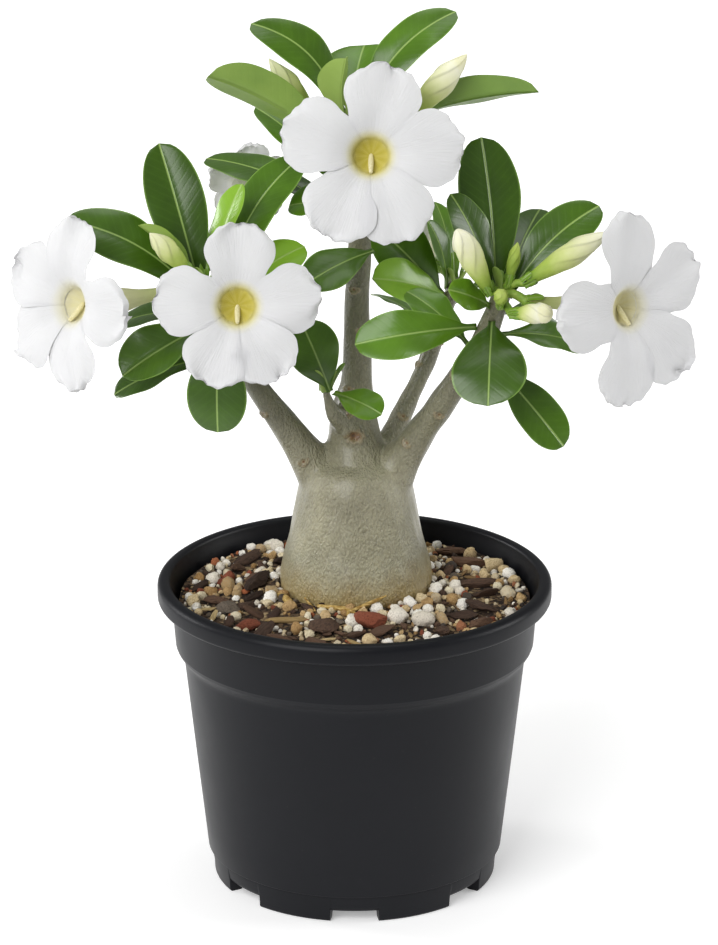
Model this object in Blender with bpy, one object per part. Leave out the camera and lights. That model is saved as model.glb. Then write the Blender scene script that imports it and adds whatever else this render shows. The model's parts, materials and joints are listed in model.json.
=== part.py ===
"""Desert rose (Adenium) in a round nursery pot: pot, potting mix, swollen trunk, leaves, flowers, buds.

Origin: middle of the pot's underside, on the surface it stands on.  +Z is up, the front is -Y.
Dimensions are in millimetres and every mesh is written in metres.
"""
import math
import random

import bmesh
import bpy
from mathutils import Vector

MM = 0.001

# Pot: a 6 inch moulded nursery pot
RIM_RADIUS = 76.0
POT_HEIGHT = 121.0
POT_WALL = 1.2
POT_SIDES = 40
FOOT_RADIUS = 55.0
BODY_RADIUS = 56.1
BODY_TAPER = 0.112
SEAM_HEIGHT = 11.0
SEAM_STEP = 0.8
BAND_RADIUS = 69.2
SHOULDER_LOW = 90.0
SHOULDER_TOP = 95.5
FLOOR_UNDERSIDE = 2.8
FLOOR_TOP = 4.4
NOTCH_COUNT = 7
NOTCH_HEIGHT = 5.6
NOTCH_WIDTH = 19.5
NOTCH_DEPTH = 6.0

# Potting mix: gritty, level with a low mound round the trunk
MIX_SIDES = 32
MIX_EDGE = 113.0
MIX_MOUND = 115.5
MIX_ROUGH = 1.0
GAP = 0.3

# Trunk: a swollen base with its foot buried in the mix
TRUNK_X = 0.3
TRUNK_Y = 8.0
TRUNK_SIDES = 18
BRANCH_SIDES = 10
STEM_CLEAR = 5.0
STEM_FLARE = 0.08

# Leaves, flowers and buds
LEAF_THICK = 1.5
PETIOLE_WIDTH = 3.2
PETAL_THICK = 1.1
THROAT_RADIUS = 7.2
SAMPLES_PER_LOBE = 6
BUD_SIDES = 8

# Shoot ends: the tip in mm and the way the stem grows there
SHOOTS = {
    "left": ((-56, -8, 238), (-8, -4, 19)),
    "centre": ((-1.5, 4, 303), (-3.5, -2, 45)),
    "right": ((55, -22, 242), (6, -5, 19)),
    "rear": ((39, 34, 229), (7, 3, 19)),
    "spur": ((-11, -4, 198), (-1.4, -0.2, 5)),
}

# Each leaf: drop below the shoot tip, azimuth, rise, length, width, roll (mm and degrees)
LEAVES = {
    "left": [
        (6, 144, 71, 62, 22, -45),
        (6, 176, 32, 60, 21, -45),
        (2, 35, 73, 42, 15, 0),
        (8, 34, 57, 65, 22, 15),
        (10, 22, 35, 38, 17, 40),
        (-1, -171, 53, 33, 12, 40),
        (15, -156, -24, 38, 21, -35),
        (12, 157, -11, 41, 16, -15),
        (30, 177, -21, 44, 14, -30),
        (14, -96, -81, 41, 23, 0),
        (11, 118, -8, 46, 18, 0),
    ],
    "spur": [
        (0, -171, 69, 29, 20, -85),
        (1, -34, -12, 21, 14, 25),
    ],
    "centre": [
        (14, -161, 34, 63, 18, 55),
        (5, 168, 49, 51, 18, -40),
        (2, 81, 40, 34, 29, -15),
        (4, 19, 48, 55, 18, 35),
        (8, -10, 17, 69, 17, -50),
        (31, 157, 41, 46, 17, -20),
        (41, 143, 10, 68, 18, -10),
        (52, -153, -17, 30, 19, -30),
        (36, 163, -5, 20, 16, -30),
        (20, 55, -11, 37, 19, 40),
        (28, 93, -40, 46, 18, 0),
    ],
    "rear": [
        (5, -162, 48, 41, 22, -75),
        (5, -140, 22, 37, 19, -55),
        (2, -150, 75, 28, 13, -60),
        (4, 104, 59, 35, 15, 35),
        (20, 145, 21, 27, 12, 10),
        (8, 20, 20, 44, 18, 0),
        (12, 70, -5, 40, 18, 0),
    ],
    "right": [
        (26, 148, 32, 31, 16, -10),
        (4, 105, 70, 60, 24, 0),
        (2, 172, 70, 41, 17, -35),
        (5, 69, 30, 50, 16, 5),
        (3, 22, 41, 48, 18, 50),
        (16, -170, -5, 46, 19, -55),
        (12, -94, -37, 37, 28, 0),
        (32, -9, -49, 42, 17, 60),
        (20, 5, -9, 34, 17, 20),
        (11, 48, -21, 42, 17, 20),
        (6, -138, 28, 22, 12, -65),
    ],
}

# Leaves whose stalk leaves the stem on another side than the one they point to: azimuth of that side
SEATS = {("centre", 8): -50, ("spur", 1): -60}

# Leaves that bend sideways: how far the middle of the blade lies off its chord, as a share of its length
BENDS = {
    ("centre", 2): -0.15, ("centre", 4): 0.09, ("left", 2): -0.08, ("left", 4): 0.08, ("left", 5): 0.06,
    ("right", 5): 0.06,
}

# Each flower: calyx and throat in mm, facing azimuth and rise, radius, lobe directions seen from its front
FLOWERS = {
    "flower_top": ((6, 0, 288), (6, -36, 298), -91, 17, 35.2, (79, 7, -66, -120, 161)),
    "flower_left": ((-51, -14, 237), (-43, -45, 243), -89, 14, 32, (87, 8, -61, -112, 174)),
    "flower_far_left": ((-64, -14, 241), (-107.5, -32, 240), -135, 12, 32.5, (94, 4, -70, -136, 160)),
    "flower_far_right": ((64, -29, 240), (104, -32, 238), -50, 8, 37.5, (89, 19, -50, -104, 176)),
    "flower_rear_left": ((-58, 6, 243), (-41, 58.5, 263), 104, 14, 18, (90, 18, -54, -126, 162)),
    "flower_rear_right": ((32, 41, 233), (35, 69, 239), 100, 15, 13, (90, 18, -54, -126, 162)),
}

# Each bud: base and tip in mm, radius
BUDS = {
    "bud_top_left": ((-14, 9, 299), (-32, 10, 323), 4.2),
    "bud_top_right": ((19, -7, 303), (41.5, -10, 329.5), 4.8),
    "bud_left": ((-61, -15, 247), (-76, -20, 264), 4.0),
    "bud_right_tall": ((50, -30, 244), (37.5, -38, 270.5), 4.6),
    "bud_right_green": ((57, -24, 245), (60.5, -22, 261), 2.3),
    "bud_right_long": ((63, -26, 246.5), (94, -25, 266), 4.5),
    "bud_right_stub": ((58, -34, 237), (73, -40, 239), 3.7),
    "bud_knob": ((54, -31, 239), (54, -35, 246), 2.6),
}


def clear_scene():
    for item in list(bpy.data.objects):
        bpy.data.objects.remove(item, do_unlink=True)


def srgb(code):
    """Linear colour of an sRGB hex code."""
    parts = [int(code[i:i + 2], 16) / 255 for i in (0, 2, 4)]
    return [c / 12.92 if c <= 0.04045 else ((c + 0.055) / 1.055) ** 2.4 for c in parts] + [1.0]


def make_material(name, code, roughness):
    material = bpy.data.materials.new(name)
    material.use_nodes = True
    shader = material.node_tree.nodes["Principled BSDF"]
    shader.inputs["Base Color"].default_value = srgb(code)
    shader.inputs["Roughness"].default_value = roughness
    shader.inputs["Metallic"].default_value = 0.0
    return material


def make_object(name, verts, faces, material):
    """Object from points in mm and faces, with its normals turned outwards and round faces smooth."""
    mesh = bpy.data.meshes.new(name)
    mesh.from_pydata([(x * MM, y * MM, z * MM) for x, y, z in verts], [], faces)
    shell = bmesh.new()
    shell.from_mesh(mesh)
    bmesh.ops.recalc_face_normals(shell, faces=shell.faces)
    shell.to_mesh(mesh)
    shell.free()
    mesh.shade_smooth()
    mesh.set_sharp_from_angle(angle=math.radians(40))
    mesh.materials.append(material)
    thing = bpy.data.objects.new(name, mesh)
    bpy.context.scene.collection.objects.link(thing)
    return thing


def join_rings(rings, start_pole=None, end_pole=None):
    """Closed skin over rings of points: quads between rings, and a fan to a pole or a flat cap at each end."""
    count = len(rings[0])
    verts = [point for ring in rings for point in ring]
    faces = []
    for row in range(len(rings) - 1):
        low = row * count
        for i in range(count):
            j = (i + 1) % count
            faces.append((low + i, low + j, low + count + j, low + count + i))
    last = (len(rings) - 1) * count
    for pole, low in ((start_pole, 0), (end_pole, last)):
        if pole is None:
            faces.append(tuple(range(low, low + count)))
            continue
        verts.append(pole)
        faces += [(low + i, low + (i + 1) % count, len(verts) - 1) for i in range(count)]
    return verts, faces


def turned(profile, sides, cx=0.0, cy=0.0, wobble=None):
    """Solid of revolution of (radius, height) pairs; the first and last points lie on the axis."""
    rings = []
    for radius, height in profile[1:-1]:
        ring = []
        for k in range(sides):
            turn = 2 * math.pi * k / sides
            lift = wobble(radius) if wobble else 0.0
            ring.append((cx + radius * math.cos(turn), cy + radius * math.sin(turn), height + lift))
        rings.append(ring)
    return join_rings(rings, (cx, cy, profile[0][1]), (cx, cy, profile[-1][1]))


def boolean(thing, other, operation):
    """Boolean modifier with a hidden operand."""
    cut = thing.modifiers.new(other.name, "BOOLEAN")
    cut.operation = operation
    cut.solver = "EXACT"
    cut.object = other
    other.hide_render = True
    other.display_type = "WIRE"


def body_radius(height):
    return BODY_RADIUS + BODY_TAPER * height


def pot_inner(height):
    """Inner radius of the pot: the body's taper, the shoulder, then the straighter band."""
    if height < SHOULDER_LOW:
        return body_radius(height) - POT_WALL
    if height < SHOULDER_TOP:
        share = (height - SHOULDER_LOW) / (SHOULDER_TOP - SHOULDER_LOW)
        return body_radius(SHOULDER_LOW) - POT_WALL + share * (BAND_RADIUS - body_radius(SHOULDER_LOW))
    return BAND_RADIUS - POT_WALL + (height - SHOULDER_TOP) * 0.085


def make_pot(plastic):
    """Moulded pot: tapered wall, stepped foot, shoulder, straight band, rolled rim, notched foot ring."""
    seam = body_radius(SEAM_HEIGHT)
    outside = [
        (0, FLOOR_UNDERSIDE), (FOOT_RADIUS - 4.0, FLOOR_UNDERSIDE),
        (FOOT_RADIUS - 3.4, 0.0), (FOOT_RADIUS - 0.6, 0.0), (FOOT_RADIUS + 0.2, 1.0),
        (seam - SEAM_STEP, SEAM_HEIGHT - 0.4), (seam, SEAM_HEIGHT + 0.4),
        (body_radius(48), 48.0), (body_radius(SHOULDER_LOW), SHOULDER_LOW),
        (66.9, 91.6), (68.4, 93.4), (BAND_RADIUS, SHOULDER_TOP),
        (70.8, 113.0), (72.4, 113.8), (RIM_RADIUS - 0.6, 114.6), (RIM_RADIUS, 116.2),
        (RIM_RADIUS - 0.4, 118.8), (RIM_RADIUS - 1.6, 120.4), (RIM_RADIUS - 3.0, POT_HEIGHT),
    ]
    inside = [
        (71.8, 120.5), (70.9, 119.0), (pot_inner(112), 112.0), (pot_inner(SHOULDER_TOP), SHOULDER_TOP),
        (pot_inner(SHOULDER_LOW), SHOULDER_LOW), (pot_inner(FLOOR_TOP), FLOOR_TOP), (0, FLOOR_TOP),
    ]
    pot = make_object("pot", *turned(outside + inside, POT_SIDES), plastic)
    for k in range(NOTCH_COUNT):
        boolean(pot, make_notch(k, plastic), "DIFFERENCE")
    return pot


def make_notch(k, plastic):
    """Cutter for one drain notch: a block through the foot ring, narrower at its top."""
    turn = -math.pi / 2 + 2 * math.pi * k / NOTCH_COUNT
    out = Vector((math.cos(turn), math.sin(turn), 0))
    side = Vector((-math.sin(turn), math.cos(turn), 0))
    rings = []
    for height, width in ((-1.0, NOTCH_WIDTH), (NOTCH_HEIGHT, NOTCH_WIDTH - 4.0)):
        ring = []
        for reach, across in ((-NOTCH_DEPTH, -1), (4, -1), (4, 1), (-NOTCH_DEPTH, 1)):
            point = out * (FOOT_RADIUS + reach) + side * across * width / 2
            ring.append((point.x, point.y, height))
        rings.append(ring)
    return make_object(f"notch_cutter_{k}", *join_rings(rings), plastic)


def caudex_profile(clear=0.0):
    """Swollen base: rounded foot in the mix, widest at the surface, then a long neck up to the crown."""
    foot = 88.0 - clear
    body = [
        (12, foot + 1), (21, 92), (26, 98), (28.6, 106), (29.5, 113), (29.3, 120),
        (27.6, 128), (25.8, 135), (24.2, 143), (22.6, 151), (21.2, 158), (18.5, 164), (12, 167),
    ]
    return [(0, foot)] + [(radius + clear, height) for radius, height in body] + [(0, 168)]


# Branches as (point, radius) stations from inside the crown to the shoot tip
BRANCHES = [
    [((-10, 7, 156), 11), ((-20.5, 4.5, 172), 6.8), ((-37, 0, 198), 4.3), ((-48, -4, 219), 4.0), ((-56, -8, 238), 3.6)],
    [((0, 8, 165), 11), ((-0.4, 8, 182), 9.4), ((0.6, 8, 192), 7.4), ((1, 8, 199), 5.8), ((1.2, 8, 233), 4.7),
     ((2, 6, 258), 4.4), ((-1.5, 4, 303), 3.6)],
    [((11, 5, 156), 11), ((23, 1, 176), 6.2), ((38, -8, 201), 4.8), ((49, -17, 223), 4.3), ((55, -22, 242), 3.6)],
    [((8, 13, 162), 7), ((16, 19, 175), 4.4), ((27, 28, 197), 3.4), ((32, 31, 210), 3.2), ((39, 34, 229), 3.0)],
    [((-1, 3, 180), 6.5), ((-7, -1.5, 188), 4.6), ((-9, -3, 194), 2.6), ((-11, -4, 198), 2.2)],
]


def tube(stations, sides):
    """Tapered tube along a chain of (point, radius) stations, each ring square to the chain there."""
    points = [Vector(point) for point, radius in stations]
    rings = []
    for k, (point, radius) in enumerate(stations):
        along = (points[min(k + 1, len(points) - 1)] - points[max(k - 1, 0)]).normalized()
        across = along.cross(Vector((0, 1, 0))).normalized()
        other = along.cross(across)
        ring = []
        for i in range(sides):
            turn = 2 * math.pi * i / sides
            spot = Vector(point) + (across * math.cos(turn) + other * math.sin(turn)) * radius
            ring.append(tuple(spot))
        rings.append(ring)
    return join_rings(rings)


def make_trunk(bark):
    """Caudex and its branches, grown as one piece."""
    trunk = make_object("trunk", *turned(caudex_profile(), TRUNK_SIDES, TRUNK_X, TRUNK_Y), bark)
    for k, stations in enumerate(BRANCHES):
        branch = make_object(f"branch_form_{k}", *tube(stations, BRANCH_SIDES), bark)
        boolean(trunk, branch, "UNION")
    return trunk


def make_mix(grit):
    """Potting mix filling the pot to 8 mm below its rim, with a pit that the trunk's foot sits in."""
    rough = random.Random(7)

    def wobble(radius):
        return rough.uniform(-MIX_ROUGH, MIX_ROUGH) if radius < 64 else 0.0

    bottom = FLOOR_TOP + GAP
    wall = [(pot_inner(h) - GAP - 0.2, h) for h in (bottom, SHOULDER_LOW, SHOULDER_TOP, MIX_EDGE)]
    top = [(62, MIX_EDGE + 0.4), (53, MIX_EDGE + 0.5), (44, MIX_EDGE + 0.8), (35, MIX_MOUND - 1), (20, MIX_MOUND)]
    rings = []
    sides = MIX_SIDES
    for radius, height in wall + top:
        ring = []
        for k in range(sides):
            turn = 2 * math.pi * k / sides
            lift = wobble(radius) if height > MIX_EDGE else 0.0
            pull = TRUNK_Y * max(0.0, 1 - radius / 64) if height > MIX_EDGE else 0.0
            ring.append((radius * math.cos(turn), pull + radius * math.sin(turn), height + lift))
        rings.append(ring)
    verts, faces = join_rings(rings, (0, 0, bottom), (TRUNK_X, TRUNK_Y, MIX_MOUND))
    mix = make_object("potting_mix", verts, faces, grit)
    pit = turned(caudex_profile(GAP), TRUNK_SIDES, TRUNK_X, TRUNK_Y)
    boolean(mix, make_object("pit_cutter", *pit, grit), "DIFFERENCE")
    return mix


def leaf_width(t):
    """Obovate outline: 0 at both ends and 1 at 0.65 of the way to the full, rounded tip."""
    swell = math.sin(math.pi / 2 * min(t / 0.65, 1)) ** 1.3
    return swell * math.sqrt(1 - max(0.0, (t - 0.65) / 0.35) ** 2.2)


def leaf_points(length, width, bend):
    """Leaf lying along +X with its upper face up: closed lens sections from the petiole to the tip.

    Half-width is leaf_width times width / 2, no less than the petiole; the middle sags into a shallow
    keel of 0.16 of the half-width, and the blade arches by 7% of its length and bends sideways by its bend.
    """
    rings = []
    for t in (0.0, 0.12, 0.28, 0.46, 0.64, 0.82, 0.95):
        half = max(PETIOLE_WIDTH / 2 * (1 - 0.4 * t), width / 2 * leaf_width(t))
        thick = LEAF_THICK * (1 - 0.45 * t) / 2
        lift = 0.28 * length * t * (1 - t)
        aside = bend * length * 4 * t * (1 - t)
        ring = []
        for v, side in ((-1, 0), (-0.5, 1), (0, 1), (0.5, 1), (1, 0), (0.5, -1), (0, -1), (-0.5, -1)):
            keel = 0.16 * half * abs(v)
            ring.append((t * length, v * half + aside, lift + keel + side * thick * (1 - v * v)))
        rings.append(ring)
    return join_rings(rings, None, (length, 0, 0))


def leaf_axes(azimuth, rise, roll):
    """Chord direction, side and upper normal of a leaf; roll turns its face about the chord."""
    a, r, turn = (math.radians(v) for v in (azimuth, rise, roll))
    along = Vector((math.cos(r) * math.cos(a), math.cos(r) * math.sin(a), math.sin(r)))
    level = (Vector((0, 0, 1)) - along * along.z).normalized()
    beside = along.cross(level)
    upper = level * math.cos(turn) + beside * math.sin(turn)
    return along, upper.cross(along), upper


def make_leaves(shoot, blade):
    tip, growth = (Vector(v) for v in SHOOTS[shoot])
    growth.normalize()
    for k, (drop, azimuth, rise, length, width, roll) in enumerate(LEAVES[shoot]):
        a = math.radians(SEATS.get((shoot, k + 1), azimuth))
        base = tip - growth * drop + Vector((math.cos(a), math.sin(a), 0)) * (STEM_CLEAR + STEM_FLARE * drop)
        along, side, upper = leaf_axes(azimuth, rise, roll)
        verts, faces = leaf_points(length, width, BENDS.get((shoot, k + 1), 0.0))
        placed = [tuple(base + along * x + side * y + upper * z) for x, y, z in verts]
        make_object(f"leaf_{shoot}_{k + 1:02d}", placed, faces, blade)


def lobe_edge(angle, lobes, radius):
    """Corolla outline: the widest of five rounded lobes, each a half cosine 84 degrees wide."""
    best = 0.62
    for lobe in lobes:
        away = abs((angle - lobe + 180) % 360 - 180)
        if away < 42:
            best = max(best, 0.62 + 0.38 * math.cos(math.pi * away / 84) ** 0.6)
    return best * radius


def flower_points(calyx, throat, azimuth, rise, radius, lobes):
    """Corolla: a curved tube from the calyx that flares into a throat and five flat lobes, one closed skin."""
    a, r = math.radians(azimuth), math.radians(rise)
    face = Vector((math.cos(r) * math.cos(a), math.cos(r) * math.sin(a), math.sin(r)))
    up = (Vector((0, 0, 1)) - face * face.z).normalized()
    right = up.cross(face)
    start, end = Vector(calyx), Vector(throat)
    bend = end - face * (end - start).length * 0.5
    count = 5 * SAMPLES_PER_LOBE
    angles = [lobes[0] + 360 * k / count for k in range(count)]

    def tube_ring(s, size):
        spot = start * (1 - s) ** 2 + bend * 2 * s * (1 - s) + end * s * s
        along = ((bend - start) * (1 - s) + (end - bend) * s).normalized()
        tall = (up - along * up.dot(along)).normalized()
        wide = tall.cross(along)
        return [tuple(spot + (wide * math.cos(math.radians(v)) + tall * math.sin(math.radians(v))) * size)
                for v in angles]

    def limb_ring(depth, size_of):
        return [tuple(end + face * depth + (right * math.cos(math.radians(v)) + up * math.sin(math.radians(v)))
                      * size_of(v)) for v in angles]

    rings = [
        tube_ring(0.45, 2.4),
        tube_ring(0.75, 4.6),
        limb_ring(-3.0, lambda v: THROAT_RADIUS),
        limb_ring(0.6, lambda v: 0.55 * lobe_edge(v, lobes, radius)),
        limb_ring(-0.4, lambda v: lobe_edge(v, lobes, radius)),
        limb_ring(-0.4 - PETAL_THICK, lambda v: lobe_edge(v, lobes, radius) - 0.3),
        limb_ring(0.6 - PETAL_THICK, lambda v: 0.55 * lobe_edge(v, lobes, radius)),
        limb_ring(-4.8, lambda v: THROAT_RADIUS + 1.3),
        tube_ring(0.72, 5.9),
        tube_ring(0.35, 3.6),
        tube_ring(0.0, 2.6),
    ]
    spot = start * 0.3025 + bend * 0.495 + end * 0.2025
    return join_rings(rings, tuple(spot), tuple(start))


def make_bud(name, base, tip, radius, petal):
    """Furled bud: a spindle, fullest a third of the way up and drawn to a point."""
    start, end = Vector(base), Vector(tip)
    along = (end - start).normalized()
    across = along.cross(Vector((0, 1, 0))).normalized()
    other = along.cross(across)
    length = (end - start).length
    rings = []
    for t, share in ((0.0, 0.45), (0.15, 0.8), (0.35, 1.0), (0.6, 0.85), (0.82, 0.5)):
        ring = []
        for i in range(BUD_SIDES):
            turn = 2 * math.pi * i / BUD_SIDES
            spot = start + along * t * length
            spot += (across * math.cos(turn) + other * math.sin(turn)) * radius * share
            ring.append(tuple(spot))
        rings.append(ring)
    return make_object(name, *join_rings(rings, None, tuple(end)), petal)


def build():
    clear_scene()
    plastic = make_material("pot_black_polypropylene", "2c2c30", 0.42)
    grit = make_material("gritty_mix", "8a7460", 0.95)
    bark = make_material("grey_green_bark", "9a9380", 0.75)
    blade = make_material("waxy_leaf", "2f6a1c", 0.35)
    petal = make_material("white_petal", "f5f5f2", 0.5)
    bud_skin = make_material("cream_bud", "e6e6bc", 0.5)
    make_pot(plastic)
    make_mix(grit)
    make_trunk(bark)
    for shoot in SHOOTS:
        make_leaves(shoot, blade)
    for name, (calyx, throat, azimuth, rise, radius, lobes) in FLOWERS.items():
        make_object(name, *flower_points(calyx, throat, azimuth, rise, radius, lobes), petal)
    for name, (base, tip, radius) in BUDS.items():
        make_bud(name, base, tip, radius, bud_skin)


build()
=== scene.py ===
import json
import math

import bmesh
import bpy
import numpy as np
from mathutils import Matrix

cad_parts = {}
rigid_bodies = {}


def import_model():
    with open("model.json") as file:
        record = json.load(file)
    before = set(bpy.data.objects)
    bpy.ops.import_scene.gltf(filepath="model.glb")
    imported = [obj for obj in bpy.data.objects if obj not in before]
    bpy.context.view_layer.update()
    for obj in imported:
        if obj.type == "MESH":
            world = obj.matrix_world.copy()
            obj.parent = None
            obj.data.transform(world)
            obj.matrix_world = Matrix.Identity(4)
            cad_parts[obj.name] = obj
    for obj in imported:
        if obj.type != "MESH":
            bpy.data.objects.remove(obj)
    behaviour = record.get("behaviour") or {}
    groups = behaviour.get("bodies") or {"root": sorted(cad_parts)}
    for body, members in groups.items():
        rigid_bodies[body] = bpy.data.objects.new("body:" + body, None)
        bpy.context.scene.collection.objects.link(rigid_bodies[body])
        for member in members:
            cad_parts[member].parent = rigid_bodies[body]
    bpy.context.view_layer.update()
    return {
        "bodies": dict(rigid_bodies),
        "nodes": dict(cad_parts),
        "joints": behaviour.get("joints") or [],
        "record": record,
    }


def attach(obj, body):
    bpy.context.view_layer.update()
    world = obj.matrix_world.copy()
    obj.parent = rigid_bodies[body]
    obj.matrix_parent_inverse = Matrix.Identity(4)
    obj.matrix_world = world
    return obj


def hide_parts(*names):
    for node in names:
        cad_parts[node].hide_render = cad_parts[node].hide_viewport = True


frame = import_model()

# ---------------------------------------------------------------------------------------------------
# Pot.  A round 6 inch nursery pot, injection moulded in carbon-black polypropylene: thin tapered wall,
# stepped foot, a straight band over a shoulder, a rolled rim and seven drain notches in the foot ring.
# ---------------------------------------------------------------------------------------------------
MM = 0.001
MERGE = 0.002
POT_SIDES = 280
NOTCHES = 7
NOTCH_HEIGHT = 5.6
# degrees round the foot: half a notch's width, the slope at its side and the plain strip kept beside it
NOTCH_HALF_TURN = 9.6
NOTCH_SLOPE = 0.25
NOTCH_MARGIN = 1.2
# the foot ring lies outside this radius, in the first rows of the profile
FOOT_RING = 49.2
FOOT_ROWS = 16


def linear(code):
    """sRGB hex code to a linear RGBA colour."""
    parts = np.array([int(code[i:i + 2], 16) for i in (0, 2, 4)]) / 255
    low = parts / 12.92
    high = ((parts + 0.055) / 1.055) ** 2.4
    return [*np.where(parts <= 0.04045, low, high), 1.0]


def wire(tree, node, settings=None, links=None):
    """Sets up a node: a setting is one of its properties, an input's value or a ramp's stops.

    A link comes from a socket, or from a node, which gives its first output in use.
    """
    for key, value in (settings or {}).items():
        if key == "stops":
            ramp = node.color_ramp.elements
            while len(ramp) < len(value):
                ramp.new(0.5)
            for stop, (position, colour) in zip(ramp, value):
                stop.position = position
                stop.color = linear(colour) if isinstance(colour, str) else [colour] * 3 + [1.0]
        elif isinstance(key, str) and hasattr(node, key):
            setattr(node, key, value)
        else:
            node.inputs[key].default_value = value
    for key, source in (links or {}).items():
        if isinstance(source, bpy.types.Node):
            source = next(output for output in source.outputs if output.enabled)
        tree.links.new(source, node.inputs[key])


def add_node(tree, kind, settings=None, links=None):
    """Adds a shader node with its settings and links."""
    node = tree.nodes.new("ShaderNode" + kind)
    wire(tree, node, settings, links)
    return node


def new_material(name, settings):
    """A material with one Principled shader; returns the material, its node tree and the shader."""
    material = bpy.data.materials.new(name)
    material.use_nodes = True
    tree = material.node_tree
    shader = tree.nodes["Principled BSDF"]
    wire(tree, shader, settings)
    return material, tree, shader


def finish_mesh(name, mesh, material, sharp):
    """Smooth faces with edges past the angle kept sharp, the material, and an object in the scene."""
    mesh.shade_smooth()
    mesh.set_sharp_from_angle(angle=math.radians(sharp))
    mesh.materials.append(material)
    thing = bpy.data.objects.new(name, mesh)
    bpy.context.scene.collection.objects.link(thing)
    return thing


def skin(name, grids, material, values=None, wrap=True, sharp=45):
    """One object from grids of points (rows, columns, xyz) in mm.

    Every grid becomes quads between neighbouring rows and columns, its last column joined to its first
    where wrap is true.  Rows drawn in to one point close as poles when doubled points are merged.
    """
    points, faces, start = [], [], 0
    for grid in grids:
        rows, cols = grid.shape[:2]
        index = start + np.arange(rows * cols).reshape(rows, cols)
        after = np.roll(index, -1, axis=1) if wrap else index[:, 1:]
        before = index if wrap else index[:, :-1]
        quads = np.stack([before[:-1], after[:-1], after[1:], before[1:]], axis=-1)
        points.append(grid.reshape(-1, 3))
        faces.append(quads.reshape(-1, 4))
        start += rows * cols
    mesh = bpy.data.meshes.new(name)
    mesh.from_pydata((np.concatenate(points) * MM).tolist(), [], np.concatenate(faces).tolist())
    for key, fields in (values or {}).items():
        flat = np.concatenate([np.asarray(field, np.float32).reshape(-1) for field in fields])
        mesh.attributes.new(key, "FLOAT", "POINT").data.foreach_set("value", flat)
    shell = bmesh.new()
    shell.from_mesh(mesh)
    bmesh.ops.remove_doubles(shell, verts=shell.verts, dist=MERGE * MM)
    bmesh.ops.recalc_face_normals(shell, faces=shell.faces)
    shell.to_mesh(mesh)
    shell.free()
    return finish_mesh(name, mesh, material, sharp)


def place(thing, slot, *nodes):
    """The piece rides on the one body and stands for its CAD nodes, which it hides; slot is not used."""
    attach(thing, "root")
    if nodes:
        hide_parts(*nodes)


def arc(radius, height, size, start, end, count=7):
    """Points of a circular arc in the profile plane, by centre, size and turn in degrees."""
    turn = np.radians(np.linspace(start, end, count))
    return np.stack([radius + size * np.cos(turn), height + size * np.sin(turn)], axis=1)


def turned(profile, turns):
    """Grid of a profile of (radius, height) carried round the Z axis: x = r cos, y = r sin, z = height."""
    radius, height = np.asarray(profile, float).T[:, :, None]
    return np.stack([radius * np.cos(turns), radius * np.sin(turns), height + 0 * turns], axis=-1)


# settings of a mix node that multiplies its two colours
TIMES = {"data_type": "RGBA", "blend_type": "MULTIPLY", 0: 1.0}

# Polypropylene, moulded in a finely spark-eroded tool: satin, with a soft sheen, faint flow marks and
# a little grit dust in fine specks all over.
pot_plastic, tree, shader = new_material("moulded_black_polypropylene", {
    "Metallic": 0.0, "IOR": 1.49, "Specular IOR Level": 0.18,
})
spot = add_node(tree, "TexCoord").outputs["Object"]
cloud = add_node(tree, "TexNoise", {"Scale": 22.0, "Detail": 4.0, "Roughness": 0.6}, {"Vector": spot})
shade = add_node(tree, "ValToRGB", {"stops": [(0.3, "111216"), (0.7, "16171b")]}, {"Fac": cloud})
dust = add_node(tree, "TexNoise", {"Scale": 900.0, "Detail": 3.0, "Roughness": 0.7}, {"Vector": spot})
specks = add_node(tree, "ValToRGB", {"stops": [(0.69, 0.0), (0.78, 0.35)]}, {"Fac": dust})
dusty = add_node(tree, "Mix", {"data_type": "RGBA", 7: linear("55514b")}, {0: specks, 6: shade})
gloss = add_node(tree, "MapRange", {"From Min": 0.3, "From Max": 0.7, "To Min": 0.36, "To Max": 0.47},
                 {"Value": cloud})
# the tool's spark finish is about 0.05 mm; drawn at 0.4 mm so that it shows as a soft tooth
tooth = add_node(tree, "TexNoise", {"Scale": 2500.0, "Detail": 2.0}, {"Vector": spot})
tooth_bump = add_node(tree, "Bump", {"Strength": 0.12, "Distance": 0.00008}, {"Height": tooth})
wire(tree, shader, links={"Base Color": dusty, "Roughness": gloss, "Normal": tooth_bump})

pot_outside = np.concatenate([
    [(0, 2.8), (48, 2.8)], arc(50.6, 1.0, 1.0, 160, 270, 4), arc(54.0, 1.0, 1.0, 270, 360, 6),
    [(55.2, 4.5), (56.1, 9.8)], arc(56.6, 10.6, 0.5, 200, 90, 4), [(57.0, 11.15)],
    arc(57.0, 11.55, 0.4, 270, 360, 4), [(58.5, 21.5), (61.5, 48.2), (65.4, 84.0)],
    [(65.9, 88.6), (66.1, 90.0), (66.5, 91.1), (67.3, 92.2), (68.2, 93.2), (68.85, 94.2)],
    arc(68.8, 95.4, 0.45, 315, 360, 4), [(69.9, 104.0), (70.7, 111.4)],
    arc(72.2, 111.6, 1.5, 180, 90, 5)[1:], arc(74.6, 114.5, 1.4, 270, 360, 6), [(76.0, 117.4)],
    arc(73.2, 118.2, 2.8, 0, 90, 10),
])
pot_inside = np.concatenate([
    arc(72.6, 119.4, 1.6, 90, 180, 7),
    [(70.6, 117.6), (69.4, 112.0), (68.05, 95.6), (67.2, 93.6), (65.2, 91.0), (64.6, 87.0), (55.3, 6.0),
     (54.3, 4.4), (0, 4.4)],
])
steps = np.degrees(np.linspace(0, 2 * np.pi, POT_SIDES, endpoint=False))
edges = [-90 + 360 / NOTCHES * k + side * (NOTCH_HALF_TURN + nudge)
         for k in range(NOTCHES) for side in (-1, 1) for nudge in (0.0, NOTCH_SLOPE, NOTCH_MARGIN)]
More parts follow.
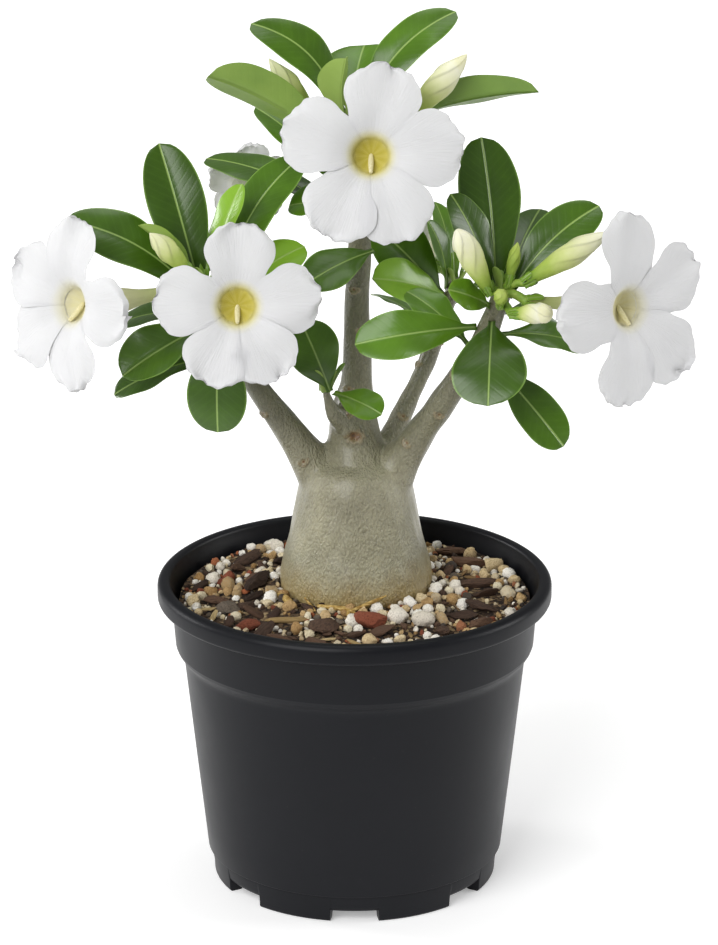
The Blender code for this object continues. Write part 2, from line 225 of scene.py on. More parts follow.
pot_turns = np.unique(np.round(np.concatenate([steps, np.mod(edges, 360)]), 3))
away = np.abs(np.mod(pot_turns + 90 + 180 / NOTCHES, 360 / NOTCHES) - 180 / NOTCHES)
pot_grid = turned(np.concatenate([pot_outside, pot_inside]), np.radians(pot_turns))
# the foot's lower edge is lifted to the notch height wherever a notch passes through it
lift = NOTCH_HEIGHT * np.clip((NOTCH_HALF_TURN + NOTCH_SLOPE - away) / NOTCH_SLOPE, 0, 1)
reach = np.hypot(pot_grid[..., 0], pot_grid[..., 1])
at_foot = (np.arange(len(pot_grid)) < FOOT_ROWS)[:, None]
in_ring = (reach > FOOT_RING) & (pot_grid[..., 2] < NOTCH_HEIGHT) & at_foot
pot_grid[..., 2] = np.where(in_ring, np.maximum(pot_grid[..., 2], lift), pot_grid[..., 2])
pot_shell = skin("nursery_pot", [pot_grid], pot_plastic, sharp=38)
place(pot_shell, "pot_plastic", "pot")

# ---------------------------------------------------------------------------------------------------
# Potting mix.  A gritty desert-plant mix, poured in and settled: a dark base of fines with white
# perlite, cream pumice, red lava, dark grit and split pine bark lying loose on top of it.
# ---------------------------------------------------------------------------------------------------
MIX_EDGE = 112.6
MIX_MOUND = 2.6
MIX_REACH = 67.6
BED_SIDES = 150
BED_RINGS = 36
TRUNK_AT = np.array([0.3, 8.0])
CAUDEX_REACH = 29.0
TRIES_PER_STONE = 12
chance = np.random.default_rng(41)


def bed_height(x, y):
    """Top of the fines: level at the wall, a low mound round the trunk, and slow swells of half a mm."""
    from_trunk = np.hypot(x - TRUNK_AT[0], y - TRUNK_AT[1])
    swell = 0.45 * np.sin(x / 7.1 + 1.0) * np.cos(y / 8.3) + 0.3 * np.sin((x + y) / 4.7)
    return MIX_EDGE + MIX_MOUND * np.exp(-((from_trunk - 25) / 20) ** 2) + swell


# Fines: crumbs of dark compost, matt, each of its own brown and 1.6 mm across.
fines, tree, shader = new_material("dark_fines", {"Roughness": 0.95, "IOR": 1.4})
spot = add_node(tree, "TexCoord").outputs["Object"]
crumbs = add_node(tree, "TexVoronoi", {"Scale": 620.0, "Randomness": 1.0}, {"Vector": spot})
crumb_hue = add_node(tree, "SeparateColor", {}, {"Color": crumbs.outputs["Color"]})
crumb_shade = add_node(tree, "ValToRGB", {"stops": [
    (0.0, "1c1512"), (0.35, "33261e"), (0.6, "4b3a2c"), (0.8, "6b563f"), (0.95, "a08a68")]},
    {"Fac": crumb_hue.outputs["Red"]})
crumb_bump = add_node(tree, "Bump", {"Strength": 0.9, "Distance": 0.0011, "invert": True},
                      {"Height": crumbs})
wire(tree, shader, links={"Base Color": crumb_shade, "Normal": crumb_bump})

bed_turns = np.linspace(0, 2 * np.pi, BED_SIDES, endpoint=False)
bed_rings = np.linspace(0, 1, BED_RINGS)[:, None]
bed_x = MIX_REACH * bed_rings * np.cos(bed_turns)
bed_y = MIX_REACH * bed_rings * np.sin(bed_turns)
bed_top = np.stack([bed_x, bed_y, bed_height(bed_x, bed_y)], axis=-1)
bed_wall = turned([(67.2, 95.2), (64.4, 90.2), (63.6, 83.0), (53.6, 4.8), (0, 4.8)], bed_turns)
mix_bed = skin("mix_fines", [np.concatenate([bed_top, bed_wall])], fines)
place(mix_bed, "potting_mix", "potting_mix")


def ball(level):
    """Unit directions and triangles of a sphere of 80, 320 or 1280 faces, at level 2, 3 or 4."""
    shell = bmesh.new()
    bmesh.ops.create_icosphere(shell, subdivisions=level, radius=1.0)
    points = np.array([v.co for v in shell.verts])
    faces = np.array([[v.index for v in f.verts] for f in shell.faces])
    shell.free()
    return points, faces


def turns_of(count, lean, turn=None):
    """Rotation matrices: a given or random turn about Z after a lean of up to so many degrees off flat."""
    a = chance.uniform(0, 2 * np.pi, count) if turn is None else np.full(count, turn)
    b = np.radians(lean) * chance.uniform(-1, 1, count)
    c = np.radians(lean) * chance.uniform(-1, 1, count)
    zero, one = np.zeros(count), np.ones(count)
    spin = np.stack([np.cos(a), -np.sin(a), zero, np.sin(a), np.cos(a), zero, zero, zero, one], -1)
    tip = np.stack([np.cos(b), zero, np.sin(b), zero, one, zero, -np.sin(b), zero, np.cos(b)], -1)
    roll = np.stack([one, zero, zero, zero, np.cos(c), -np.sin(c), zero, np.sin(c), np.cos(c)], -1)
    spin, tip, roll = (m.reshape(-1, 3, 3) for m in (spin, tip, roll))
    return spin @ tip @ roll


def stones(name, centres, sizes, material, level, cuts, lean, flats=0.5, turn=None):
    """Broken stones as one object.

    Each is a sphere cut by random planes: along a direction d its radius is the least of 1 and
    depth / (n . d) over the planes n.  It is then stretched to its three half-sizes, turned and placed.
    The attributes keep each point's place in its own stone in mm, and one random tint per stone.
    """
    base, faces = ball(level)
    count = len(centres)
    normals = chance.normal(size=(count, cuts, 3))
    normals /= np.linalg.norm(normals, axis=-1, keepdims=True)
    depth = chance.uniform(flats, 0.95, (count, 1, cuts))
    facing = np.einsum("vk,nck->nvc", base, normals)
    reach = np.where(facing > 0.05, depth / np.maximum(facing, 0.05), 9.0).min(axis=-1)
    body = base * np.minimum(1.0, reach)[..., None] * sizes[:, None, :]
    body *= 1 + (0.05 if level < 4 else 0.02) * chance.normal(size=(count, len(base), 1))
    points = np.einsum("nij,nvj->nvi", turns_of(count, lean, turn), body) + centres[:, None, :]
    corners = faces[None] + (np.arange(count) * len(base))[:, None, None]
    mesh = bpy.data.meshes.new(name)
    mesh.from_pydata((points.reshape(-1, 3) * MM).tolist(), [], corners.reshape(-1, 3).tolist())
    mesh.attributes.new("own_place", "FLOAT_VECTOR", "POINT").data.foreach_set(
        "vector", body.reshape(-1).astype(np.float32))
    tint = np.repeat(chance.uniform(0, 1, count), len(base)).astype(np.float32)
    mesh.attributes.new("tint", "FLOAT", "POINT").data.foreach_set("value", tint)
    place(finish_mesh(name, mesh, material, 38), "potting_mix")


def stone_material(name, colours, grain_scale, grain_depth, roughness, stretch=(1, 1, 1)):
    """Stone or bark: a colour picked by the stone's tint, mottled by grain in its own coordinates, with
    painted shade in the grain's low places.
    """
    material, tree, shader = new_material(name, {
        "Roughness": roughness, "IOR": 1.45, "Specular IOR Level": 0.3,
    })
    own = add_node(tree, "Attribute", {"attribute_name": "own_place"}).outputs["Vector"]
    tint = add_node(tree, "Attribute", {"attribute_name": "tint"}).outputs["Fac"]
    along = add_node(tree, "Mapping", {"Scale": stretch}, {"Vector": own})
    grain = add_node(tree, "TexNoise", {"Scale": grain_scale, "Detail": 4.0, "Roughness": 0.65},
                     {"Vector": along})
    spread = add_node(tree, "Math", {"operation": "MULTIPLY_ADD", 1: 0.5, 2: -0.25}, {0: grain})
    pick = add_node(tree, "Math", {"operation": "ADD"}, {0: tint, 1: spread})
    places = np.linspace(0, 1, len(colours))
    hue = add_node(tree, "ValToRGB", {"stops": list(zip(places, colours))}, {"Fac": pick})
    # painted shade: the colour is darkened to 0.45 where the grain, which is also the bump's height, is low
    pit_shade = add_node(tree, "MapRange", {"From Min": 0.25, "From Max": 0.5, "To Min": 0.45, "To Max": 1.0},
                    {"Value": grain})
    dark = add_node(tree, "Mix", TIMES, {6: hue, 7: pit_shade})
    bump = add_node(tree, "Bump", {"Strength": 0.8, "Distance": grain_depth}, {"Height": grain})
    wire(tree, shader, links={"Base Color": dark, "Normal": bump})
    return material


# grain scales are in cells per mm of the stone: froth, pores and grit 0.5 to 0.6 mm, bark fibre 0.5 mm
perlite = stone_material("expanded_perlite", ["d6ccbb", "ece6da", "f2eee6"], 1.9, 0.0003, 0.9)
pumice = stone_material("cream_pumice", ["9c7a4e", "bfa071", "d6c39c", "e2d8bd", "a98c62"], 1.7, 0.0005, 0.9)
lava = stone_material("red_lava", ["6a3a2a", "8d4f3a", "a5613f", "9a6f52"], 1.8, 0.0005, 0.92)
slate_grit = stone_material("dark_grit", ["2f2a27", "514943", "766a5c", "3a332d"], 1.6, 0.0004, 0.9)
pine_bark = stone_material("split_pine_bark", ["2c2019", "46362d", "6b5140", "3a2b23"], 1.3, 0.0006, 0.9,
                           (0.22, 1.6, 1.6))
bark_fibre = stone_material("bleached_bark_fibre", ["7a6040", "9f875a", "bda87c"], 1.2, 0.0004, 0.9,
                            (0.2, 1.8, 1.8))


def scatter(count, low, high, kept, spacing):
    """Random spots on the bed, each clear of the pot wall, the trunk and the spots already kept."""
    spots = []
    for attempt in range(count * TRIES_PER_STONE):
        if len(spots) == count:
            break
        size = chance.uniform(low, high)
        x, y = chance.uniform(-MIX_REACH, MIX_REACH, 2)
        if np.hypot(x, y) > MIX_REACH - size - 0.5:
            continue
        if np.hypot(x - TRUNK_AT[0], y - TRUNK_AT[1]) < CAUDEX_REACH + 0.6 * size:
            continue
        if min(np.hypot(x - kx, y - ky) - (size + ks) * spacing for kx, ky, ks in kept) < 0:
            continue
        kept.append((x, y, size))
        spots.append((x, y, size))
    return np.array(spots)


def lay(spots, sink):
    """Centres of stones lying on the bed with a share of their size sunk in it."""
    x, y, size = spots.T
    return np.stack([x, y, bed_height(x, y) + size * sink], -1)


# the biggest pieces lie in known places: (x, y, half-length, turn in degrees), the shares of its half-length
# along, across and up, the number of planes that cut it and how near they come to its middle
taken = []
pieces = [("oval_bark", pine_bark, (-11.5, -37.5, 8.6, 80), (1.0, 0.7, 0.22), 20, 0.75),
          ("red_front", lava, (6.5, -34.0, 7.4, -20), (1.0, 0.62, 0.42), 10, 0.6),
          ("white_one", perlite, (16.6, -31.0, 4.1, 0), (1.0, 0.95, 0.8), 10, 0.82),
          ("white_two", perlite, (26.0, -33.0, 4.6, 10), (1.0, 0.75, 0.7), 10, 0.82),
          ("red_left", lava, (-40.5, -36.5, 5.0, 10), (1.0, 0.6, 0.5), 10, 0.7),
          ("long_bark", pine_bark, (-37.0, 7.0, 11.5, 66), (1.0, 0.3, 0.22), 16, 0.6),
          ("grey_bark", slate_grit, (-48.0, -16.0, 6.0, -15), (1.0, 0.8, 0.45), 10, 0.5),
          ("bark_right", pine_bark, (47.0, 8.0, 10.0, 24), (1.0, 0.27, 0.2), 12, 0.6),
          ("bark_rear", pine_bark, (44.0, 33.0, 9.0, -14), (1.0, 0.36, 0.3), 14, 0.5),
          ("bark_rim", pine_bark, (47.0, -34.0, 6.4, 30), (1.0, 0.5, 0.4), 14, 0.5),
          ("ochre_rear", pumice, (54.0, 30.0, 5.0, 40), (1.0, 0.7, 0.7), 12, 0.5),
          ("white_rear", perlite, (-31.0, 50.0, 3.2, 0), (0.9, 0.8, 0.9), 10, 0.8),
          ("sliver_left", bark_fibre, (-25.0, -31.0, 9.0, 4), (1.0, 0.16, 0.14), 6, 0.6)]
for label, finish, (x, y, size, turn), shape, cuts, flats in pieces:
    taken.append((x, y, size * 0.72))
    spot = lay(np.array([[x, y, size * shape[2]]]), 0.75)
    stones(label, spot, np.array([shape]) * size, finish, 4, cuts, 7, flats, math.radians(turn))
chips = scatter(44, 3.6, 8.2, taken, 0.6)
stones("bark_chips", lay(chips, 0.2), chips[:, 2:] * [1.0, 0.42, 0.26], pine_bark, 3, 8, 26, 0.45)
slivers = scatter(12, 3.0, 5.5, taken, 0.5)
stones("bark_slivers", lay(slivers, 0.3), slivers[:, 2:] * [1.0, 0.22, 0.15], bark_fibre, 2, 6, 30, 0.5)
for label, finish, count, low, high, flats in (
        ("perlite_large", perlite, 44, 1.9, 3.5, 0.8), ("pumice_large", pumice, 110, 1.9, 3.7, 0.62),
        ("lava_large", lava, 44, 2.0, 4.2, 0.55), ("grit_large", slate_grit, 40, 2.0, 3.6, 0.5)):
    found = scatter(count, low, high, taken, 0.78)
    shapes = found[:, 2:] * chance.uniform(0.7, 1.0, (len(found), 3))
    stones(label, lay(found, 0.4), shapes, finish, 3, 10, 60, flats)
for label, finish, count in (
        ("perlite_small", perlite, 100), ("pumice_small", pumice, 300), ("lava_small", lava, 120),
        ("grit_small", slate_grit, 260), ("bark_small", pine_bark, 320)):
    found = scatter(count, 0.9, 1.9, taken, 0.74)
    shapes = found[:, 2:] * chance.uniform(0.6, 1.1, (len(found), 3))
    stones(label, lay(found, 0.3), shapes, finish, 2, 7, 80)

# ---------------------------------------------------------------------------------------------------
# Trunk.  The caudex, its neck, four branches and a side spur, grown as one piece: a swollen,
# water-filled base under thin grey-green bark that is finely wrinkled lengthways, with leaf scars.
# ---------------------------------------------------------------------------------------------------
CAUDEX = [(0, 88), (12, 89), (21, 92), (25.4, 98), (28.0, 106), (29.2, 113), (29.2, 120), (27.6, 128),
          (25.8, 135), (24.2, 143), (22.6, 151), (21.2, 158), (18.5, 164), (12, 167), (0, 168)]
BRANCHES = {
    "left": [((-10, 7, 156), 11), ((-20.5, 4.5, 172), 6.8), ((-37, 0, 198), 4.4), ((-48, -4, 219), 4.1),
             ((-56, -8, 238), 3.7)],
    "centre": [((0, 8, 165), 11), ((-0.4, 8, 182), 9.3), ((0.6, 8, 192), 7.4), ((1, 8, 200), 5.9),
               ((1.2, 8, 233), 4.8), ((2, 6, 258), 4.4), ((-1.5, 4, 303), 3.6)],
    "right": [((11, 5, 156), 11), ((23, 1, 176), 6.2), ((38, -8, 201), 4.9), ((49, -17, 223), 4.4),
              ((55, -22, 242), 3.8)],
    "rear": [((8, 13, 162), 7), ((16, 19, 175), 4.4), ((27, 28, 197), 3.5), ((32, 31, 210), 3.3),
             ((39, 34, 229), 3.1)],
    "spur": [((-1, 3, 180), 5.6), ((-6.5, -1.5, 186.5), 4.0), ((-8.5, -3, 190), 2.9),
             ((-9.6, -3.8, 193), 2.2), ((-11, -4, 198), 1.5)],
}
NECK = [((0.3, 8, 146), 19.5), ((0.3, 8, 155), 19.0), ((0.3, 7.6, 162), 16.4), ((0.2, 7.6, 169), 12.4),
        ((0, 7.8, 176), 10.2), ((0, 8, 185), 8.6)]
# the scar of a lost branch: its middle and radius in mm, and the radius of the ridge round a leaf scar
KNOB = np.array([0.2, -3.0, 178.5])
KNOB_RADIUS = 3.2
SCAR_RADIUS = 1.9
CAUDEX_ROWS = 60
CAUDEX_SIDES = 72
# the forms are grown together on a grid of this many mm, and their joins are rounded off in so many passes
BARK_GRID = 0.7
HEALING = 26
# leaf scars: branch, share of the way along it, turn about it in degrees (-90 faces the front)
SCARS = [
    ("left", 0.22, -80), ("left", 0.42, -40), ("left", 0.6, -120), ("left", 0.5, 60), ("left", 0.8, -60),
    ("right", 0.25, -60), ("right", 0.4, -100), ("right", 0.55, -50), ("right", 0.7, -120),
    ("right", 0.6, 80), ("centre", 0.24, -75), ("centre", 0.36, -130), ("centre", 0.45, -60),
    ("centre", 0.52, 20), ("centre", 0.6, -110), ("centre", 0.68, -70), ("centre", 0.3, 90),
    ("centre", 0.75, 120), ("rear", 0.3, -90), ("rear", 0.5, -20), ("rear", 0.7, -130), ("rear", 0.6, 90),
]


def unit(vectors):
    """The same directions with a length of one."""
    return vectors / np.linalg.norm(vectors, axis=-1, keepdims=True)


def along_path(stations, places):
    """Points, sizes and tangents on a smooth curve through the stations (Catmull-Rom in each stretch)."""
    data = np.array([(*point, size) for point, size in stations], float)
    last = len(data) - 1
    data = np.vstack([2 * data[0] - data[1], data, 2 * data[-1] - data[-2]])
    at = np.clip(places, 0, 1) * last
    k = np.minimum(at.astype(int), last - 1)
    f = (at - k)[:, None]
    a, b, c, d = (data[k + j] for j in range(4))
    first, second, third = c - a, 2 * a - 5 * b + 4 * c - d, 3 * b - a - 3 * c + d
    curve = 0.5 * (2 * b + first * f + second * f ** 2 + third * f ** 3)
    slope = 0.5 * (first + 2 * second * f + 3 * third * f ** 2)[:, :3]
    return curve[:, :3], curve[:, 3], unit(slope)


def frames(tangents):
    """Two directions square to each tangent, the second as near as possible to the Y axis."""
    first = unit(np.cross(tangents, [0.0, 1.0, 0.0]))
    return first, np.cross(first, tangents)


def around(first, second, turns):
    """Unit vectors at the turns in the plane of two directions: first cos + second sin."""
    return first[..., None, :] * np.cos(turns)[:, None] + second[..., None, :] * np.sin(turns)[:, None]


def hose(stations, rows, cols):
    """Grid of a tapered tube: rings of the path's size about its smooth curve, and a dome at each end."""
    centre, size, tangent = along_path(stations, np.linspace(0, 1, rows))
    across, upright = frames(tangent)
    ring = around(across, -upright, np.linspace(0, 2 * np.pi, cols, endpoint=False))
    body = centre[:, None] + ring * size[:, None, None]
    ends = []
    for row, way in ((0, -1), (-1, 1)):
        bend = np.radians([90, 60, 30])[:, None, None]
        out = tangent[row] * way * 0.6 * np.sin(bend) + ring[row] * np.cos(bend)
        ends.append(centre[row] + size[row] * out)
    return np.concatenate([ends[0], body, ends[1][::-1]])


# Bark: grey-green, a little translucent-looking and satin, with a net of fine upright wrinkles about
# 0.9 mm apart, with painted shade in their hollows and a faint painted highlight on their ridges;
# tan at the soil line, darker and greener up the young branches.
bark, tree, shader = new_material("adenium_bark", {
    "IOR": 1.45, "Specular IOR Level": 0.6, "Coat Weight": 0.6, "Coat Roughness": 0.3,
    "Subsurface Weight": 0.08, "Subsurface Radius": (0.004, 0.003, 0.002), "Subsurface Scale": 0.5,
})
spot = add_node(tree, "TexCoord").outputs["Object"]
height = add_node(tree, "SeparateXYZ", {}, {"Vector": spot}).outputs["Z"]
scar = add_node(tree, "Attribute", {"attribute_name": "scar"}).outputs["Fac"]
patch = add_node(tree, "TexNoise", {"Scale": 55.0, "Detail": 4.0, "Roughness": 0.6}, {"Vector": spot})
stain = add_node(tree, "Math", {"operation": "MULTIPLY_ADD", 1: 0.022, 2: -0.011}, {0: patch})
tall = add_node(tree, "Math", {"operation": "ADD"}, {0: height, 1: stain})
band = add_node(tree, "MapRange", {"From Min": 0.108, "From Max": 0.258}, {"Value": tall})
by_height = add_node(tree, "ValToRGB", {"stops": [
    (0.0, "86693d"), (0.06, "a08c5a"), (0.14, "a39e82"), (0.36, "9c977d"), (0.5, "807d64"),
    (0.78, "67654a")]}, {"Fac": band})
mottle = add_node(tree, "MapRange", {"From Min": 0.3, "From Max": 0.7, "To Min": 0.8, "To Max": 1.16},
                  {"Value": patch})
mottled = add_node(tree, "Mix", TIMES, {6: by_height, 7: mottle})
net_space = add_node(tree, "Mapping", {"Scale": (1200.0, 1200.0, 720.0)}, {"Vector": spot})
net = add_node(tree, "TexVoronoi", {"feature": "SMOOTH_F1", "Scale": 1.0, "Smoothness": 0.6},
               {"Vector": net_space})
crease_space = add_node(tree, "Mapping", {"Scale": (1150.0, 1150.0, 650.0)}, {"Vector": spot})
crease = add_node(tree, "TexNoise", {"Scale": 1.0, "Detail": 3.0, "Distortion": 1.4},
                  {"Vector": crease_space})
relief = add_node(tree, "Math", {"operation": "MULTIPLY_ADD", 1: -0.8}, {0: net, 2: crease})
# painted shade and highlight: the colour is darker in the relief's hollows and a little lighter on its
# ridges
painted_wrinkle_shade = add_node(tree, "MapRange", {"From Min": -0.25, "From Max": 0.25, "To Min": 0.82, "To Max": 1.06},
                  {"Value": relief})
wrinkled = add_node(tree, "Mix", TIMES, {6: mottled, 7: painted_wrinkle_shade})
scarred = add_node(tree, "ValToRGB", {"stops": [
    (0.0, "6d664f"), (0.5, "9a8d6c"), (0.7, "7d5c36"), (1.0, "3a2214")]}, {"Fac": scar})
amount = add_node(tree, "MapRange", {"From Min": 0.02, "From Max": 0.25}, {"Value": scar})
bark_hue = add_node(tree, "Mix", {"data_type": "RGBA"}, {0: amount, 6: wrinkled, 7: scarred})
bark_bump = add_node(tree, "Bump", {"Strength": 1.0, "Distance": 0.0007}, {"Height": relief})
dull = add_node(tree, "MapRange", {"From Min": 0.3, "From Max": 0.7, "To Min": 0.34, "To Max": 0.5},
                {"Value": crease})
wire(tree, shader, links={"Base Color": bark_hue, "Normal": bark_bump, "Roughness": dull})

caudex_path = along_path([((r, 0, h), r) for r, h in CAUDEX], np.linspace(0, 1, CAUDEX_ROWS))[0]
caudex_turns = np.linspace(0, 2 * np.pi, CAUDEX_SIDES, endpoint=False)
caudex_r = np.maximum(caudex_path[:, :1], 0) * (1 + 0.012 * np.sin(3 * caudex_turns + 0.6))
caudex_x = TRUNK_AT[0] + caudex_r * np.cos(caudex_turns)
caudex_y = TRUNK_AT[1] + caudex_r * np.sin(caudex_turns)
caudex_grid = np.stack([caudex_x, caudex_y, caudex_path[:, 2:] + 0 * caudex_turns], -1)
limbs = [hose(stations, 40, 28) for stations in BRANCHES.values()]
rough_trunk = skin("trunk_forms", [caudex_grid, hose(NECK, 30, 40)] + limbs, bark)
weld = rough_trunk.modifiers.new("grown_together", "REMESH")
weld.mode = "VOXEL"
weld.voxel_size = BARK_GRID * MM
relax = rough_trunk.modifiers.new("healed_joins", "SMOOTH")
relax.factor = 0.5
relax.iterations = HEALING
grown = bpy.data.meshes.new_from_object(rough_trunk.evaluated_get(bpy.context.evaluated_depsgraph_get()))
bpy.data.objects.remove(rough_trunk)
spots = np.zeros(len(grown.vertices) * 3)
grown.vertices.foreach_get("co", spots)
spots = spots.reshape(-1, 3) / MM
normals = np.zeros(len(grown.vertices) * 3)
grown.vertex_normals.foreach_get("vector", normals)
normals = normals.reshape(-1, 3)
# slow swellings of the bark, 0.3 mm high, and a crescent ridge round a pit for each leaf scar
x, y, z = spots.T
swell = 0.3 * np.sin(x / 4.1 + z / 9.0) * np.cos(y / 4.6 - z / 13.0)
swell += 0.12 * np.sin(x / 1.7) * np.sin(z / 5.0 + y)
scar_mark = np.zeros(len(spots))
for name, share, turn in SCARS:
    centre, size, tangent = along_path(BRANCHES[name], np.array([share]))
    across, upright = frames(tangent)
    turn = math.radians(turn)
    out = across[0] * math.cos(turn) + upright[0] * math.sin(turn)
    rel = spots - (centre[0] + out * size[0])
    down = rel @ tangent[0]
    side = rel @ np.cross(tangent[0], out)
    ring = np.hypot(side, down * 1.25)
    near = np.abs(rel @ out) < 3.0
    crescent = np.exp(-((ring - SCAR_RADIUS) / 0.45) ** 2) * (down < 0.6) * near
    pit = np.exp(-(ring / 1.1) ** 2) * near
    swell += 0.7 * crescent - 0.4 * pit
    scar_mark = np.maximum(scar_mark, np.maximum(0.6 * crescent, 0.85 * pit))
# the brown, ragged scar of a lost branch on the neck
ragged = np.sin(1.9 * x + 0.7 * z) * np.sin(1.5 * z - 0.8 * x)
knob_ring = np.linalg.norm((spots - KNOB) * [0.85, 1.0, 1.15], axis=1) + 0.7 * ragged
swell += 1.2 * np.exp(-((knob_ring - KNOB_RADIUS) / 1.1) ** 2) - 0.5 * np.exp(-(knob_ring / 2.0) ** 2)
scar_mark = np.maximum(scar_mark, (0.78 + 0.22 * ragged) * np.exp(-(knob_ring / KNOB_RADIUS) ** 4))
spots += normals * swell[:, None]
grown.vertices.foreach_set("co", (spots * MM).reshape(-1))
grown.attributes.new("scar", "FLOAT", "POINT").data.foreach_set("value", scar_mark.astype(np.float32))
grown.shade_smooth()
grown.materials.clear()
grown.materials.append(bark)
trunk = bpy.data.objects.new("trunk_and_branches", grown)
bpy.context.scene.collection.objects.link(trunk)
place(trunk, "bark", "trunk")


def grained_material(name, settings, cells, detail, stops, depth=None):
    """Plain plant tissue: a colour ramp over noise of so many cells per metre, and a bump of some depth."""
    material, tree, shader = new_material(name, {"IOR": 1.4, **settings})
    spot = add_node(tree, "TexCoord").outputs["Object"]
    space = add_node(tree, "Mapping", {"Scale": cells}, {"Vector": spot})
    grain = add_node(tree, "TexNoise", {"Scale": 1.0, "Detail": detail}, {"Vector": space})
    hue = add_node(tree, "ValToRGB", {"stops": stops}, {"Fac": grain})
    wire(tree, shader, links={"Base Color": hue})
    if depth:
        bump = add_node(tree, "Bump", {"Strength": 0.5, "Distance": depth}, {"Height": grain})
        wire(tree, shader, links={"Normal": bump})
    return material


# dry surface roots and a straw that lie against the foot of the caudex: matt, with fibres 0.6 mm wide
dry_root = grained_material(
    "dry_straw_root", {"Roughness": 0.8, "Specular IOR Level": 0.3}, (400.0, 1800.0, 1800.0), 3.0,
    [(0.3, "6b4e26"), (0.5, "a98a4c"), (0.7, "d3ba7c")])
roots = [
    [((-14, -20, 116.2), 0.7), ((-8, -22.5, 116.4), 1.0), ((-3, -24, 116.2), 1.1), ((0.5, -26, 115), 0.7)],
    [((-2.5, -25, 115.6), 0.5), ((2, -24.2, 117.2), 0.75), ((8, -22.8, 119.4), 0.7),
     ((12, -21.4, 120.8), 0.3)],
    [((-1, -23.5, 115), 1.0), ((-2.4, -26.5, 115.6), 0.9), ((-1.6, -30, 114.6), 0.5)],
    [((-19, -17, 118.4), 0.3), ((-16.4, -19.6, 115.8), 0.6), ((-15, -22, 114.6), 0.5)],
    [((-30, -6, 115.4), 1.0), ((-27, -11, 116.2), 1.5), ((-24, -17, 115.6), 1.3), ((-22, -21, 114.4), 0.6)],
]
place(skin("surface_roots", [hose(root, 16, 10) for root in roots], dry_root), "bark")

# ---------------------------------------------------------------------------------------------------
# Leaves.  Thick, waxy obovate blades crowded at the shoot tips, deep green and glossy above, paler
# beneath, with a pale midrib, faint side veins and a thin pale margin; they grow from the stem.
# ---------------------------------------------------------------------------------------------------
# each leaf: drop below the shoot tip, azimuth, rise, length, width and roll, in mm and degrees
LEAVES = {
    "left": [
        (6, 144, 71, 62, 22, -45), (6, 176, 32, 60, 21, -45), (2, 35, 73, 42, 15, 0),
        (8, 34, 57, 65, 22, 15), (10, 22, 35, 38, 17, 40), (-1, -171, 53, 33, 12, 40),
        (15, -156, -24, 38, 21, -35), (12, 157, -11, 41, 16, -15), (30, 177, -21, 44, 14, -30),
        (14, -96, -81, 41, 23, 0), (11, 118, -8, 46, 18, 0)],
    "spur": [
        (0, -171, 69, 29, 20, -85), (1, -34, -12, 21, 14, 25)],
    "centre": [
        (14, -161, 34, 63, 18, 55), (5, 168, 49, 51, 18, -40), (2, 81, 40, 34, 29, -15),
        (4, 19, 48, 55, 18, 35), (8, -10, 17, 69, 17, -50), (31, 157, 41, 46, 17, -20),
        (41, 143, 10, 68, 18, -10), (52, -153, -17, 30, 19, -30), (36, 163, -5, 20, 16, -30),
        (20, 55, -11, 37, 19, 40), (28, 93, -40, 46, 18, 0)],
    "rear": [
        (5, -162, 48, 41, 22, -75), (5, -140, 22, 37, 19, -55), (2, -150, 75, 28, 13, -60),
        (4, 104, 59, 35, 15, 35), (20, 145, 21, 27, 12, 10), (8, 20, 20, 44, 18, 0),
        (12, 70, -5, 40, 18, 0)],
    "right": [
        (26, 148, 32, 31, 16, -10), (4, 105, 70, 60, 24, 0), (2, 172, 70, 41, 17, -35),
        (5, 69, 30, 50, 16, 5), (3, 22, 41, 48, 18, 50), (16, -170, -5, 46, 19, -55),
        (12, -94, -37, 37, 28, 0), (32, -9, -49, 42, 17, 60), (20, 5, -9, 34, 17, 20),
        (11, 48, -21, 42, 17, 20), (6, -138, 28, 22, 12, -65)],
}
# the next lists name a leaf by its shoot and its place there, counted from 1
# leaves that are keeled more or less than the others: rise of the blade per mm off the midrib
FOLDED = {("left", 1): 0.3, ("left", 6): 0.5, ("left", 7): 0.45, ("centre", 1): 0.6, ("centre", 5): 0.6,
          ("centre", 9): 0.3, ("right", 7): 0.1, ("rear", 2): 0.3}
# leaves that bend sideways: how far the middle of the blade lies off its chord, as a share of its length
BENDS = {("centre", 2): -0.15, ("centre", 4): 0.09, ("left", 2): -0.08, ("left", 4): 0.08, ("left", 5): 0.06,
         ("right", 5): 0.06}
# leaves whose stalk leaves the stem on another side than the one they point to: azimuth of that side
SEATS = {("centre", 8): -50, ("spur", 1): -60}
# young leaves of a brighter green
YOUNG = [("left", 3), ("left", 5), ("left", 6), ("rear", 2)]
# a blade starts inside the stem's bark and ends a little short of its full length
LEAF_INSET = 1.6
LEAF_SHARE = 0.98
# distance of a leaf's seat from the stem's middle at the tip, and its growth per mm below it
STEM_CLEAR = 5.0
STEM_FLARE = 0.08
SHORT_LEAF = 36
YOUNG_PER_TIP = 5
LEAF_ROWS = 30
LEAF_COLS = 15
LEAF_THICK = 0.34
PETIOLE = 1.4
WIDEST = 0.65

